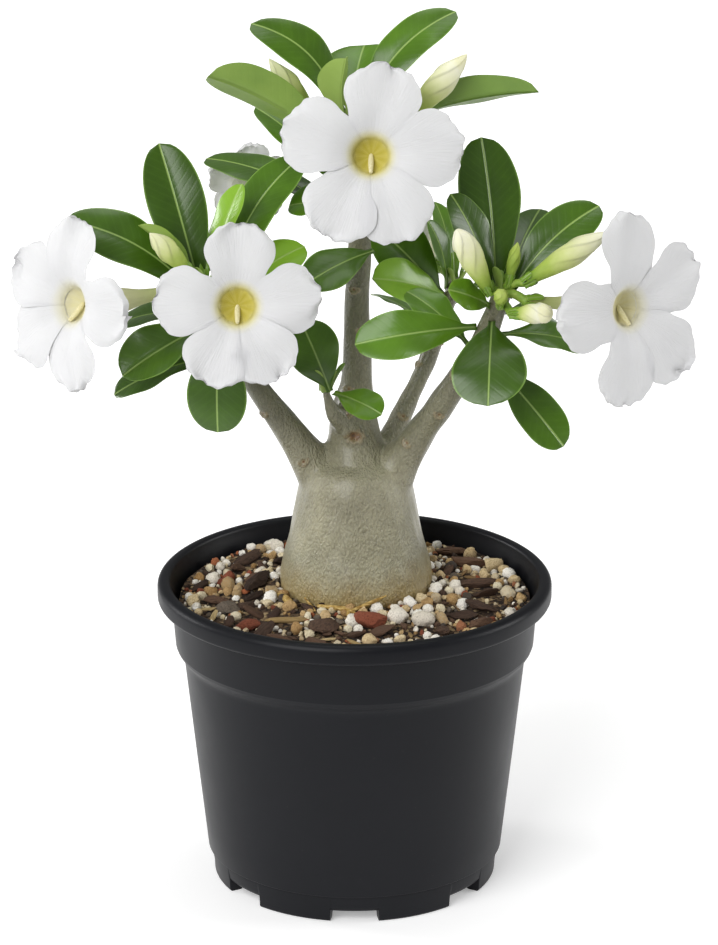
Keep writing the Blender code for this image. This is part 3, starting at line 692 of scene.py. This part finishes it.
# Leaf cuticle: wax over dark green flesh above and pale green beneath.  The blade's own coordinates in
# mm (along the midrib and across it) draw the midrib, the side veins 3.4 mm apart and the pale margin.
leaf_skin, tree, shader = new_material("waxy_leaf_cuticle", {
    "IOR": 1.45, "Specular IOR Level": 0.5, "Coat Roughness": 0.2, "Coat Weight": 0.12,
})
along, across, edge, upper, tint = (
    add_node(tree, "Attribute", {"attribute_name": name}).outputs["Fac"]
    for name in ("along_mm", "across_mm", "edge_share", "upper_face", "leaf_tint"))
spot = add_node(tree, "TexCoord").outputs["Object"]
patch = add_node(tree, "TexNoise", {"Scale": 90.0, "Detail": 3.0}, {"Vector": spot})
off_rib = add_node(tree, "Math", {"operation": "ABSOLUTE"}, {0: across})
rib = add_node(tree, "MapRange", {"From Min": 0.5, "From Max": 0.16}, {"Value": off_rib})
slant = add_node(tree, "Math", {"operation": "MULTIPLY_ADD", 1: -0.85}, {0: off_rib, 2: along})
waver = add_node(tree, "Math", {"operation": "MULTIPLY_ADD", 1: 1.6}, {0: patch, 2: slant})
beat = add_node(tree, "Math", {"operation": "PINGPONG", 1: 1.7}, {0: waver})
vein = add_node(tree, "MapRange", {"From Min": 0.7, "From Max": 0.0}, {"Value": beat})
rim = add_node(tree, "MapRange", {"From Min": 0.93, "From Max": 0.985}, {"Value": edge})
tinted = add_node(tree, "Math", {"operation": "MULTIPLY_ADD", 1: 0.45}, {0: patch, 2: tint})
face_hue = add_node(tree, "ValToRGB", {"stops": [
    (0.1, "304a0f"), (0.45, "426412"), (0.8, "5c871a"), (1.0, "82ad30")]}, {"Fac": tinted})
under_hue = add_node(tree, "ValToRGB", {"stops": [
    (0.1, "64843a"), (0.6, "7d9c44"), (1.0, "9dba58")]}, {"Fac": tinted})
# side veins, midrib and margin are laid over the upper face one after the other
for line, share, colour in ((vein, 0.05, "6f9a3f"), (rib, 0.7, "a3c069"), (rim, 0.55, "8fb455")):
    part = add_node(tree, "Math", {"operation": "MULTIPLY", 1: share}, {0: line})
    face_hue = add_node(tree, "Mix", {"data_type": "RGBA", 7: linear(colour)}, {0: part, 6: face_hue})
leaf_hue = add_node(tree, "Mix", {"data_type": "RGBA"}, {0: upper, 6: under_hue, 7: face_hue})
# painted shade: each blade and sepal darkens towards its stem, to 0.68 of its colour at 4 mm
painted_stem_shade = add_node(tree, "MapRange", {"From Min": 4.0, "From Max": 34.0, "To Min": 0.68, "To Max": 1.0},
                     {"Value": along})
shaded = add_node(tree, "Mix", TIMES, {6: leaf_hue, 7: painted_stem_shade})
wax = add_node(tree, "MapRange", {"To Min": 0.5, "To Max": 0.28}, {"Value": upper})
rib_relief = add_node(tree, "Math", {"operation": "MULTIPLY_ADD", 1: -1.0}, {0: rib, 2: patch})
relief = add_node(tree, "Math", {"operation": "MULTIPLY_ADD", 1: -0.12}, {0: vein, 2: rib_relief})
leaf_bump = add_node(tree, "Bump", {"Strength": 0.5, "Distance": 0.00035}, {"Height": relief})
wire(tree, shader, links={"Base Color": shaded, "Roughness": wax, "Normal": leaf_bump})


def both_faces(front, back):
    """Columns of a sheet's front followed by its back's in reverse, without the two edges they share."""
    return np.concatenate([front, back[:, -2:0:-1]], axis=1)


def blade(length, width, habit):
    """Closed grid of one leaf along +X, upper face up, with its surface coordinates.

    Half-width: a quarter sine to the power 1.3 up to the widest place at t = 0.65, then a full rounded tip;
    never less than the petiole.  The middle line rises by 4 a t (1 - t) of the length, bends sideways by
    4 b t (1 - t) of it and its end curls down; the blade is keeled by its fold, its edges roll and wave,
    and the midrib is sunk above and raised beneath.  Habit is (arch, fold, curl, wave, twist, bend).
    """
    arch, fold, curl, wave, twist, bend = habit
    t = (1 - np.cos(np.linspace(0, np.pi, LEAF_ROWS))) / 2
    t = 0.35 * t + 0.65 * np.linspace(0, 1, LEAF_ROWS)
    swell = np.sin(np.pi / 2 * np.minimum(t / WIDEST, 1)) ** 1.3
    half = width / 2 * swell * np.sqrt(1 - np.clip((t - WIDEST) / (1 - WIDEST), 0, 1) ** 2.2)
    half = np.maximum(half, PETIOLE * (1 - t) ** 0.5 * (t < 0.5))
    half[-1] = 0.0
    v = np.sin(np.linspace(-np.pi / 2, np.pi / 2, LEAF_COLS))
    t, half = t[:, None], half[:, None]
    across = v * half
    ripple = wave * np.sin(2 * np.pi * (2.3 * t + 0.25 * np.sign(v))) * v ** 2 * np.sin(np.pi * t)
    middle = length * (arch * 4 * t * (1 - t) - curl * t ** 3) + fold * np.abs(across) + ripple
    middle = middle - 0.012 * across ** 2 + twist * t * across
    rib = np.exp(-(across / 0.9) ** 2) * (1 - 0.8 * t)
    thick = (LEAF_THICK + 0.2 * (1 - t)) * (1 - v ** 6)
    aside = across + bend * length * 4 * t * (1 - t)
    x = length * (t - 0.25 * curl * t ** 2) + 0 * v
    top = np.stack([x, aside, middle + thick / 2 - 0.3 * rib], -1)
    low = np.stack([x, aside, middle - thick / 2 - 0.7 * rib * (1 - v ** 6)], -1)
    grid = both_faces(top, low)
    pole = np.array([x[0, 0], 0.0, middle[0, LEAF_COLS // 2] - 0.3]) + 0 * grid[:1]
    fields = {
        "along_mm": both_faces(x, x),
        "across_mm": both_faces(across, across),
        "edge_share": both_faces(np.abs(v) + 0 * x, np.abs(v) + 0 * x),
        "upper_face": both_faces(1 + 0 * x, 0 * x),
    }
    return np.concatenate([pole, grid]), {key: np.concatenate([f[:1], f]) for key, f in fields.items()}


def leaf_axes(azimuth, rise, roll):
    """Chord, side and upper normal of a leaf as rows; roll turns its face about the chord."""
    a, r, turn = np.radians([azimuth, rise, roll])
    chord = np.array([np.cos(r) * np.cos(a), np.cos(r) * np.sin(a), np.sin(r)])
    level = unit(np.array([0, 0, 1]) - chord * chord[2])
    upper = level * np.cos(turn) + np.cross(chord, level) * np.sin(turn)
    return np.array([chord, np.cross(upper, chord), upper])


def leaf_at(name, base, azimuth, rise, length, width, roll, habit, tint, *nodes):
    """One leaf from its base, turned to its azimuth, rise and roll."""
    grid, fields = blade(length, width, habit)
    grid = grid @ leaf_axes(azimuth, rise, roll) + base
    fields["leaf_tint"] = np.full(grid.shape[:2], tint)
    leaf = skin(name, [grid], leaf_skin, {key: [field] for key, field in fields.items()}, sharp=80)
    place(leaf, "leaf", *nodes)


def sideways(azimuth):
    """Level unit vector at an azimuth in degrees."""
    a = math.radians(azimuth)
    return np.array([math.cos(a), math.sin(a), 0])


for shoot, rows in LEAVES.items():
    tip, before = np.array([point for point, size in BRANCHES[shoot][:-3:-1]], float)
    growth = unit(tip - before)
    for k, (drop, azimuth, rise, length, width, roll) in enumerate(rows, 1):
        fold = FOLDED.get((shoot, k), chance.uniform(0.12, 0.24))
        habit = (chance.uniform(0.055, 0.075), fold, chance.uniform(0.0, 0.05),
                 chance.uniform(0.3, 0.8), chance.uniform(-0.12, 0.12), BENDS.get((shoot, k), 0.0))
        out = sideways(SEATS.get((shoot, k), azimuth))
        base = tip - growth * drop + out * (STEM_CLEAR + STEM_FLARE * drop) - out * LEAF_INSET
        tint = chance.uniform(0.0, 0.5) + 0.25 * (length < SHORT_LEAF) + 0.6 * ((shoot, k) in YOUNG)
        leaf_at(f"blade_{shoot}_{k:02d}", base, azimuth, rise, LEAF_SHARE * length + LEAF_INSET, width, roll,
                habit, tint, f"leaf_{shoot}_{k:02d}")

# young leaves still upright round each shoot tip, and one pale curled one behind the top flower
for shoot, stations in BRANCHES.items():
    for k in range(YOUNG_PER_TIP):
        azimuth = 360 / YOUNG_PER_TIP * k + 25
        base = np.array(stations[-1][0]) + sideways(azimuth) * 1.6 - [0, 0, 0.5]
        size = chance.uniform(7.0, 13.0)
        leaf_at(f"young_{shoot}_{k + 1}", base, azimuth, chance.uniform(55, 80), size, size * 0.32, 0,
                (0.04, 0.2, 0.0, 0.1, 0.0, 0.0), 0.95)
leaf_at("young_curled", np.array([-3.5, -6.5, 304.0]), -40, 76, 20.5, 15.0, -10,
        (0.1, 0.8, -0.3, 0.3, 0.1, -0.12), 0.95)

# ---------------------------------------------------------------------------------------------------
# Flowers.  Single white blooms: a cream tube that widens to a yellow-olive throat, five broad lobes
# that overlap like a pinwheel, a cream column of anthers, green sepals and a short green stalk.
# ---------------------------------------------------------------------------------------------------
# each flower: calyx, middle of the throat, azimuth and rise it faces, radius, turn of each lobe's middle,
# counted from its right-hand side as seen from the front
FLOWERS = {
    "flower_top": ((6, 0, 288), (6, -36, 298), -91, 17, 35.2, (79, 7, -66, -120, 161)),
    "flower_left": ((-51, -14, 237), (-43, -45, 243), -89, 14, 32, (87, 8, -61, -112, 174)),
    "flower_far_left": ((-64, -14, 241), (-107.5, -32, 240), -135, 12, 33.3, (94, 4, -70, -136, 160)),
    "flower_far_right": ((64, -29, 240), (104, -32, 238), -50, 8, 37.5, (89, 19, -50, -104, 176)),
    "flower_rear_left": ((-58, 6, 243), (-41, 58.5, 263), 104, 14, 18, (90, 18, -54, -126, 162)),
    "flower_rear_right": ((32, 41, 233), (35, 69, 239), 100, 15, 13, (90, 18, -54, -126, 162)),
}
# half-angle of the lobes in degrees where they are widest, and of those that are narrower
SPREAD = 37
SPREADS = {"flower_far_right": 32, "flower_far_left": 35}
# the two outer blooms are paler in the throat
PALE = {"flower_far_right": 0.5, "flower_far_left": 0.45}
LOBE_ROWS = 34
LOBE_COLS = 25
MOUTH = 6.4
# lobes reach this share of their radius, and the tube ends this many mm behind the middle of the throat
LOBE_SHARE = 0.965
TUBE_DEPTH = 5.0
TUBE_SIDES = 60
PETAL_THICK = 0.36
# mm of the fine veins' pattern per degree and mm of radius, which is true at 0.7 of the radius
VEIN_PLACE = 0.0122

# Petal tissue: matt white, slightly translucent, with very fine lengthways veins; the attribute "gold"
# runs from white at the throat's edge to olive yellow deep inside, "sap" from cream to green at the base.
petal_skin, tree, shader = new_material("white_petal_tissue", {
    "Roughness": 0.62, "IOR": 1.4, "Specular IOR Level": 0.25, "Subsurface Weight": 0.25,
    "Subsurface Radius": (0.0012, 0.0012, 0.0011), "Subsurface Scale": 1.0,
})
gold, sap, ray, reach = (
    add_node(tree, "Attribute", {"attribute_name": name}).outputs["Fac"]
    for name in ("gold", "sap", "ray_mm", "reach_mm"))
gold_hue = add_node(tree, "ValToRGB", {"stops": [
    (0.0, "d9d9da"), (0.25, "dad7c2"), (0.5, "d6cf9c"), (0.75, "cabf68"), (1.0, "b8ab44")]}, {"Fac": gold})
sap_hue = add_node(tree, "ValToRGB", {"stops": [
    (0.0, "ffffff"), (0.3, "f4f3e0"), (0.65, "e3e3b0"), (1.0, "b0bf66")]}, {"Fac": sap})
petal_hue = add_node(tree, "Mix", TIMES, {6: gold_hue, 7: sap_hue})
ray_place = add_node(tree, "CombineXYZ", {}, {"X": ray, "Y": reach})
ray_space = add_node(tree, "Mapping", {"Scale": (1.6, 0.12, 1.0)}, {"Vector": ray_place})
fine_veins = add_node(tree, "TexNoise", {"Scale": 1.0, "Detail": 3.0}, {"Vector": ray_space})
petal_bump = add_node(tree, "Bump", {"Strength": 0.6, "Distance": 0.0004}, {"Height": fine_veins})
wire(tree, shader, links={"Base Color": petal_hue, "Normal": petal_bump})

# Young stalks: soft yellow-green tissue, satin, in blotches 4 mm wide.
stalk_skin = grained_material("young_green_stalk", {
    "Roughness": 0.5, "IOR": 1.43, "Subsurface Weight": 0.15, "Subsurface Radius": (0.001, 0.0015, 0.0005),
    "Subsurface Scale": 1.0,
}, (260.0, 260.0, 260.0), 3.0, [(0.3, "5f7f2a"), (0.5, "82a03c"), (0.7, "a3b558")])

# Anther column: cream and matt, with a fine down 0.6 mm apart.
anther_skin = grained_material("cream_anthers", {"Roughness": 0.8}, (1800.0, 1800.0, 1800.0), 2.0,
                               [(0.3, "d8cf98"), (0.7, "e9e2bd")], 0.0002)


def face_frame(azimuth, rise):
    """Direction a flower faces, its up and its right-hand side."""
    a, r = np.radians([azimuth, rise])
    face = np.array([np.cos(r) * np.cos(a), np.cos(r) * np.sin(a), np.sin(r)])
    up = unit(np.array([0, 0, 1]) - face * face[2])
    return face, up, np.cross(up, face)


def lobe_grid(middle, gaps, radius, throat, frame, spread, moods):
    """Closed grid of one lobe and its surface coordinates.

    Its reach runs from the mouth to the tip.  Its half-angle is half the gap to the next lobe on that side
    plus 3 degrees up to 0.38 of the radius, and from 0.6 on its spread (1 - ((share - 0.5) / 0.5)^3)^0.58.
    Forward height: it dips into the throat as 3.4 exp(-((reach - 6.4) / 7)^2), more steeply within 9.2 mm,
    tilts so that one edge lies over its neighbour, has a groove down the middle, curls back at the sides
    and waves along its outer edge.
    """
    bow, droop, wave, phase = moods
    u = np.sin(np.linspace(0, np.pi / 2, LOBE_ROWS))[:, None] ** 0.9
    v = np.sin(np.linspace(-np.pi / 2, np.pi / 2, LOBE_COLS))[None]
    reach = MOUTH + (radius - MOUTH) * u
    share = reach / radius
    free = spread * (1 - np.clip((share - 0.5) / 0.5, 0, 1) ** 3) ** 0.58
    foot = np.where(v < 0, gaps[0], gaps[1]) / 2 + 3
    blend = np.clip((share - 0.38) / 0.22, 0, 1)
    blend = blend * blend * (3 - 2 * blend)
    away = v * (foot * (1 - blend) + free * blend)
    point = 0.02 * np.exp(-((away - 6) / 3.0) ** 2) * u ** 8
    ruffle = 0.014 * np.sin(np.radians(away) * 16 + phase) + 0.011 * np.sin(np.radians(away) * 41 - phase)
    reach = reach * (LOBE_SHARE + point + ruffle * u ** 4) + 0 * v
    turn = np.radians(middle + away)
    lift = -0.3 * np.maximum(9.2 - reach, 0) ** 2 - 3.4 * np.exp(-((reach - MOUTH) / 7) ** 2)
    lift = lift + 0.6 * v * (0.15 + 0.85 * u)
    lift = lift + bow * np.sin(np.pi * u) - droop * u ** 2
    lift = lift - 0.9 * np.exp(-(v / 0.4) ** 2) * np.sin(np.pi * u) - 1.3 * v ** 4 * u ** 2
    lift = lift + wave * np.sin(3.6 * v + phase) * u ** 2 + 0.45 * wave * np.sin(9 * v - phase) * u ** 5
    face, up, right = frame
    flat = right * np.cos(turn)[..., None] + up * np.sin(turn)[..., None]
    thick = PETAL_THICK * (1 - 0.6 * np.abs(v) ** 5) * (1 - 0.5 * u ** 6)
    front, back = (throat + flat * reach[..., None] + face * (lift + side * thick / 2)[..., None]
                   for side in (1, -1))
    gold = np.clip((10.2 - reach) / 4.8, 0, 1) ** 1.4
    ray = away * radius * VEIN_PLACE + middle
    fields = {
        "gold": both_faces(gold, 0.25 * gold),
        "sap": both_faces(0 * gold, 0 * gold),
        "ray_mm": both_faces(ray, ray),
        "reach_mm": both_faces(reach, reach),
    }
    return both_faces(front, back), fields


def tube_grid(calyx, throat, frame):
    """Closed grid of the corolla tube: out along its curve to the mouth and back inside the funnel.

    Its middle line is the quadratic curve (1 - s)^2 start + 2 s (1 - s) bend + s^2 end; its five-ribbed
    size and the share s are listed ring by ring.
    """
    face, up, right = frame
    start, end = np.array(calyx, float), throat - face * TUBE_DEPTH
    bend = end - face * np.linalg.norm(end - start) * 0.5
    share = np.array([0, 0.1, 0.22, 0.34, 0.46, 0.58, 0.7, 0.82, 0.92, 1,
                      1, 0.97, 0.945, 0.92, 0.9, 0.885, 0.875, 0.87])
    size = np.array([2.3, 2.2, 2.3, 3.0, 4.3, 5.6, 6.6, 7.3, 7.7, 8.0,
                     7.0, 6.4, 5.8, 4.9, 3.8, 2.5, 1.2, 0.0])
    turns = np.linspace(0, 2 * np.pi, TUBE_SIDES, endpoint=False)
    s = share[:, None]
    centre = start * (1 - s) ** 2 + bend * 2 * s * (1 - s) + end * s * s
    along = unit((bend - start) * (1 - s) + (end - bend) * s)
    tall = unit(up - along * (along @ up)[:, None])
    flute = 1 + 0.03 * np.cos(5 * turns)[None] * (size > 5)[:, None]
    ring = around(np.cross(tall, along), tall, turns)
    grid = centre[:, None] + ring * (size[:, None] * flute)[..., None]
    grid = np.concatenate([np.repeat(start[None, None], TUBE_SIDES, axis=1), grid])
    inside = np.concatenate([[0], np.arange(len(share)) >= 10])[:, None]
    depth = np.concatenate([[0], 1 - share])[:, None]
    streak = 1 - 0.12 * (0.5 + 0.5 * np.cos(10 * turns))[None]
    gold = inside * np.clip(0.6 + 4.5 * depth, 0, 1) * streak
    sap = (1 - inside) * np.clip(0.25 + 0.75 * depth, 0, 1) + 0 * turns
    sap[0] = 1.0
    flat = 0 * gold + np.degrees(turns) * 0.1
    return grid, {"gold": gold, "sap": sap, "ray_mm": flat, "reach_mm": 0 * flat}, (start, bend, end)


SEPALS = 5
SEPAL_LEAN = 0.1
stalks = {name: [] for name in BRANCHES}
sepal_grids, sepal_values = [], []


def stalk_to(base, thickness):
    """A short stalk that leaves the nearest shoot a little below and ends at the foot of a flower or bud."""
    base = np.array(base, float)
    paths = {name: along_path(stations, np.linspace(0.8, 1, 30))[0] for name, stations in BRANCHES.items()}
    near = {name: np.linalg.norm(path - base + [0, 0, 4], axis=1) for name, path in paths.items()}
    name = min(near, key=lambda key: near[key].min())
    tip = paths[name][near[name].argmin()]
    gap = base - tip
    middle = tip + gap * 0.5 + [0, 0, 0.12 * np.linalg.norm(gap)]
    path = [(tip - gap * 0.08, thickness * 1.15), (middle, thickness), (base, thickness * 1.1)]
    stalks[name].append(hose(path, 10, 14))


def add_sepals(base, along, size, length):
    """Five narrow sepals that press against the foot of a tube or bud, kept to be made into one piece."""
    guide = [0.0, 0.0, 1.0] if abs(along[2]) < 0.8 else [0.0, 1.0, 0.0]
    first = unit(np.cross(along, guide))
    for out in around(first, np.cross(along, first), 2 * np.pi * np.arange(SEPALS) / SEPALS + 0.3):
        chord = along * np.cos(SEPAL_LEAN) + out * np.sin(SEPAL_LEAN)
        upper = out * np.cos(SEPAL_LEAN) - along * np.sin(SEPAL_LEAN)
        grid, values = blade(length, 2.9, (0.03, 0.10, -0.05, 0.1, 0.0, 0.0))
        sepal_grids.append(grid @ np.array([chord, np.cross(upper, chord), upper]) + base + out * size)
        sepal_values.append({**values, "leaf_tint": np.full(grid.shape[:2], 0.85)})


for name, (calyx, throat, azimuth, rise, radius, lobes) in FLOWERS.items():
    frame_of = face_frame(azimuth, rise)
    throat = np.array(throat, float)
    parts = []
    for turn in lobes:
        moods = [chance.uniform(low, high) for low, high in ((0.3, 1.4), (0.6, 2.6), (1.0, 1.8), (0, 6))]
        others = [other for other in lobes if other != turn]
        gaps = (min((turn - other) % 360 for other in others), min((other - turn) % 360 for other in others))
        parts.append(lobe_grid(turn, gaps, radius, throat, frame_of, SPREADS.get(name, SPREAD), moods))
    grid, fields, (start, bend, end) = tube_grid(calyx, throat, frame_of)
    parts.append((grid, fields))
    values = {key: [fields[key] for grid, fields in parts] for key in fields}
    values["gold"] = [gold * PALE.get(name, 1.0) for gold in values["gold"]]
    bloom = skin(name + "_corolla", [grid for grid, fields in parts], petal_skin, values, sharp=75)
    place(bloom, "petal", name)
    face, up, right = frame_of
    column = [(throat - face * 9.6 + up * 0.4, 0.8), (throat - face * 8.2 - up * 1.6, 1.05),
              (throat - face * 6.4 - up * 3.8, 1.0), (throat - face * 4.2 - up * 6.0, 0.75)]
    anthers = skin(name + "_anthers", [hose(column, 22, 18)], anther_skin)
    place(anthers, "petal")
    way = unit(bend - start)
    add_sepals(start - way * 1.0, way, 2.1, 7.0)
    stalk_to(calyx, 1.7)

# ---------------------------------------------------------------------------------------------------
# Buds.  Furled corollas, twisted like a closed umbrella: green at the foot, cream and white above, some
# of them blunt where the lobes have begun to loosen or wither, with sepals and a short stalk each.
# ---------------------------------------------------------------------------------------------------
# each bud: base, tip, radius, bluntness of its end (0 drawn to a point, 1 rounded off), greenness
BUDS = {
    "bud_top_left": ((-14, 9, 299), (-32, 10, 323), 4.2, 0.0, 0.9),
    "bud_top_right": ((19, -7, 303), (41.5, -10, 329.5), 4.8, 0.1, 0.45),
    "bud_left": ((-61, -15, 247), (-76, -20, 264), 4.0, 0.1, 0.9),
    "bud_right_tall": ((50, -30, 244), (37.5, -38, 270.5), 4.6, 0.55, 0.6),
    "bud_right_green": ((57, -24, 245), (60.5, -22, 261), 2.3, 0.2, 1.3),
    "bud_right_long": ((63, -26, 246.5), (94, -25, 266), 4.5, 0.1, 0.6),
    "bud_right_stub": ((58, -34, 237), (73, -40, 239), 3.7, 1.0, 0.3),
    "bud_knob": ((54, -31, 239), (54, -35, 246), 2.6, 0.9, 1.2),
}
BUD_ROWS = 40
BUD_SIDES = 60
BULGE = 0.58

# Bud tissue: the petals' own, still firm and satin, with painted shade in the creases between its folds.
bud_skin, tree, shader = new_material("furled_bud_tissue", {
    "Roughness": 0.55, "IOR": 1.4, "Specular IOR Level": 0.3, "Subsurface Weight": 0.2,
    "Subsurface Radius": (0.0012, 0.0012, 0.0008), "Subsurface Scale": 1.0,
})
share, crease = (add_node(tree, "Attribute", {"attribute_name": name}).outputs["Fac"]
                 for name in ("bud_share", "bud_crease"))
spot = add_node(tree, "TexCoord").outputs["Object"]
patch = add_node(tree, "TexNoise", {"Scale": 300.0, "Detail": 3.0}, {"Vector": spot})
blur = add_node(tree, "Math", {"operation": "MULTIPLY_ADD", 1: 0.2, 2: -0.1}, {0: patch})
bud_place = add_node(tree, "Math", {"operation": "ADD"}, {0: share, 1: blur})
bud_ramp = add_node(tree, "ValToRGB", {"stops": [
    (0.0, "7d9a35"), (0.2, "a6ba56"), (0.42, "cad28a"), (0.65, "dfe0b4"), (0.9, "e9e8cf"), (1.0, "e6e4bd")]},
    {"Fac": bud_place})
# painted shade: the colour falls to 0.84 along the creases between the folds
painted_crease_shade = add_node(tree, "MapRange", {"To Min": 1.0, "To Max": 0.84}, {"Value": crease})
bud_hue = add_node(tree, "Mix", TIMES, {6: bud_ramp, 7: painted_crease_shade})
wire(tree, shader, links={"Base Color": bud_hue})


def bud_grid(base, tip, radius, blunt, green):
    """Closed grid of a bud: its size swells to the full radius at 0.58 of its length and closes after it.

    Five overlapping folds wind half a turn round it: each steps out and slopes back like a saw tooth.
    """
    start, end = np.array(base, float), np.array(tip, float)
    along = unit(end - start)
    first = unit(np.cross(along, [0.0, 1.0, 0.0]))
    t = np.sin(np.linspace(0, np.pi / 2, BUD_ROWS))[:, None]
    turns = np.linspace(0, 2 * np.pi, BUD_SIDES, endpoint=False)
    grow = 0.42 + 0.58 * np.sin(np.clip(t / BULGE, 0, 1) * np.pi / 2) ** 1.6
    close = 1 - np.clip((t - BULGE) / (1 - BULGE), 0, 1) ** (1.5 + 2.5 * blunt)
    size = radius * grow * np.maximum(close, 0) ** (0.9 - 0.35 * blunt)
    saw = np.mod(5 * turns / (2 * np.pi) - 2.6 * t, 1.0)
    furled = np.clip((t - 0.3) / 0.3, 0, 1)
    size = size * (1 + (saw ** 2 - 0.33) * 0.16 * furled)
    size[0] = 0
    ring = around(first, np.cross(along, first), turns)
    grid = start + t[..., None] * (end - start) + ring * size[..., None]
    crease = np.exp(-(np.minimum(saw, 1 - saw) / 0.07) ** 2) * furled
    share = np.clip((t - 0.1) / (0.4 + 0.9 * green), 0, 1) * (1.0 if green < 1 else 0.42) + 0 * turns
    return grid, {"bud_share": share, "bud_crease": crease}


for name, (base, tip, radius, blunt, green) in BUDS.items():
    grid, fields = bud_grid(base, tip, radius, blunt, green)
    bud = skin(name + "_furled", [grid], bud_skin, {key: [field] for key, field in fields.items()}, sharp=70)
    place(bud, "bud", name)
    way = unit(np.subtract(tip, base))
    add_sepals(base - way * 0.6, way, radius * 0.4, 5.0)
    stalk_to(base, 1.5)

for name, grids in stalks.items():
    if grids:
        place(skin("flower_stalks_" + name, grids, stalk_skin), "leaf")
sepal_fields = {key: [values[key] for values in sepal_values] for key in sepal_values[0]}
place(skin("sepals", sepal_grids, leaf_skin, sepal_fields, sharp=80), "leaf")

# ---------------------------------------------------------------------------------------------------
# Stage.  A pale seamless studio floor, a big soft light from the upper left with a strip, a fill and a
# top light, and a long lens that looks a little down on the plant.
# ---------------------------------------------------------------------------------------------------
# Matt paper with painted light: it glows round the plant and behind it, and its colour is darker to the
# sides and towards the camera as painted shade.
floor_paint, tree, shader = new_material("pale_studio_floor", {
    "Roughness": 0.9, "Specular IOR Level": 0.1, "Emission Color": (1, 1, 1, 1),
})
spot = add_node(tree, "TexCoord").outputs["Object"]
parts = add_node(tree, "SeparateXYZ", {}, {"Vector": spot})
aside = add_node(tree, "Math", {"operation": "ABSOLUTE"}, {0: parts.outputs["X"]})
middle = add_node(tree, "MapRange", {"From Min": 0.75, "From Max": 0.4}, {"Value": aside})
near = add_node(tree, "MapRange", {"From Min": -0.5, "From Max": -0.17}, {"Value": parts.outputs["Y"]})
lit = add_node(tree, "Math", {"operation": "MULTIPLY"}, {0: middle, 1: near})
# painted shade: the floor's colour falls to a0a0a0 off to the sides and towards the camera
floor_painted_shade = add_node(tree, "ValToRGB", {"stops": [(0.0, "a0a0a0"), (1.0, "f4f4f4")]}, {"Fac": lit})
# painted light: the floor glows where it is lit, more so further behind the plant
far = add_node(tree, "MapRange", {"From Min": 0.1, "From Max": 1.2, "To Min": 0.3, "To Max": 0.75},
               {"Value": parts.outputs["Y"]})
floor_painted_glow = add_node(tree, "Math", {"operation": "MULTIPLY"}, {0: lit, 1: far})
wire(tree, shader, links={"Base Color": floor_painted_shade, "Emission Strength": floor_painted_glow})
FLOOR_HALF = 3000
floor_span = np.linspace(-1, 1, 5) * FLOOR_HALF
floor_x, floor_y = np.meshgrid(floor_span, floor_span)
floor = skin("studio_floor", [np.stack([floor_x, floor_y, 0 * floor_x - 0.05], -1)], floor_paint, wrap=False)
if floor.data.polygons[0].normal.z < 0:
    floor.data.flip_normals()


def area_light(name, at, size, power):
    """Square soft box that faces the middle of the plant."""
    light = bpy.data.lights.new(name, "AREA")
    light.size = size
    light.energy = power
    lamp = bpy.data.objects.new(name, light)
    bpy.context.scene.collection.objects.link(lamp)
    aim = np.array([0, 0, 0.18]) - at
    lamp.location = at
    lamp.rotation_euler = (math.atan2(math.hypot(aim[0], aim[1]), -aim[2]), 0, math.atan2(-aim[0], aim[1]))


area_light("key_softbox", (-0.85, -1.4, 1.15), 1.4, 32)
area_light("left_strip", (-1.5, 0.6, 0.5), 0.5, 9)
area_light("right_fill", (1.6, 0.1, 0.6), 0.8, 12)
area_light("top_softbox", (0.0, 0.3, 1.8), 1.2, 9)
world = bpy.data.worlds.new("studio_white")
bpy.context.scene.world = world
world.use_nodes = True
world.node_tree.nodes["Background"].inputs["Color"].default_value = (1, 1, 1, 1)
world.node_tree.nodes["Background"].inputs["Strength"].default_value = 0.24

lens = bpy.data.cameras.new("studio_camera")
lens.lens = 168.6
lens.sensor_width = 36.0
lens.clip_end = 20
camera = bpy.data.objects.new("studio_camera", lens)
camera.location = (0.0017, -1.6, 0.715)
camera.rotation_euler = (math.radians(90 - 19.03), 0, 0)
bpy.context.scene.collection.objects.link(camera)
bpy.context.scene.camera = camera
bpy.context.scene.view_settings.view_transform = "Standard"
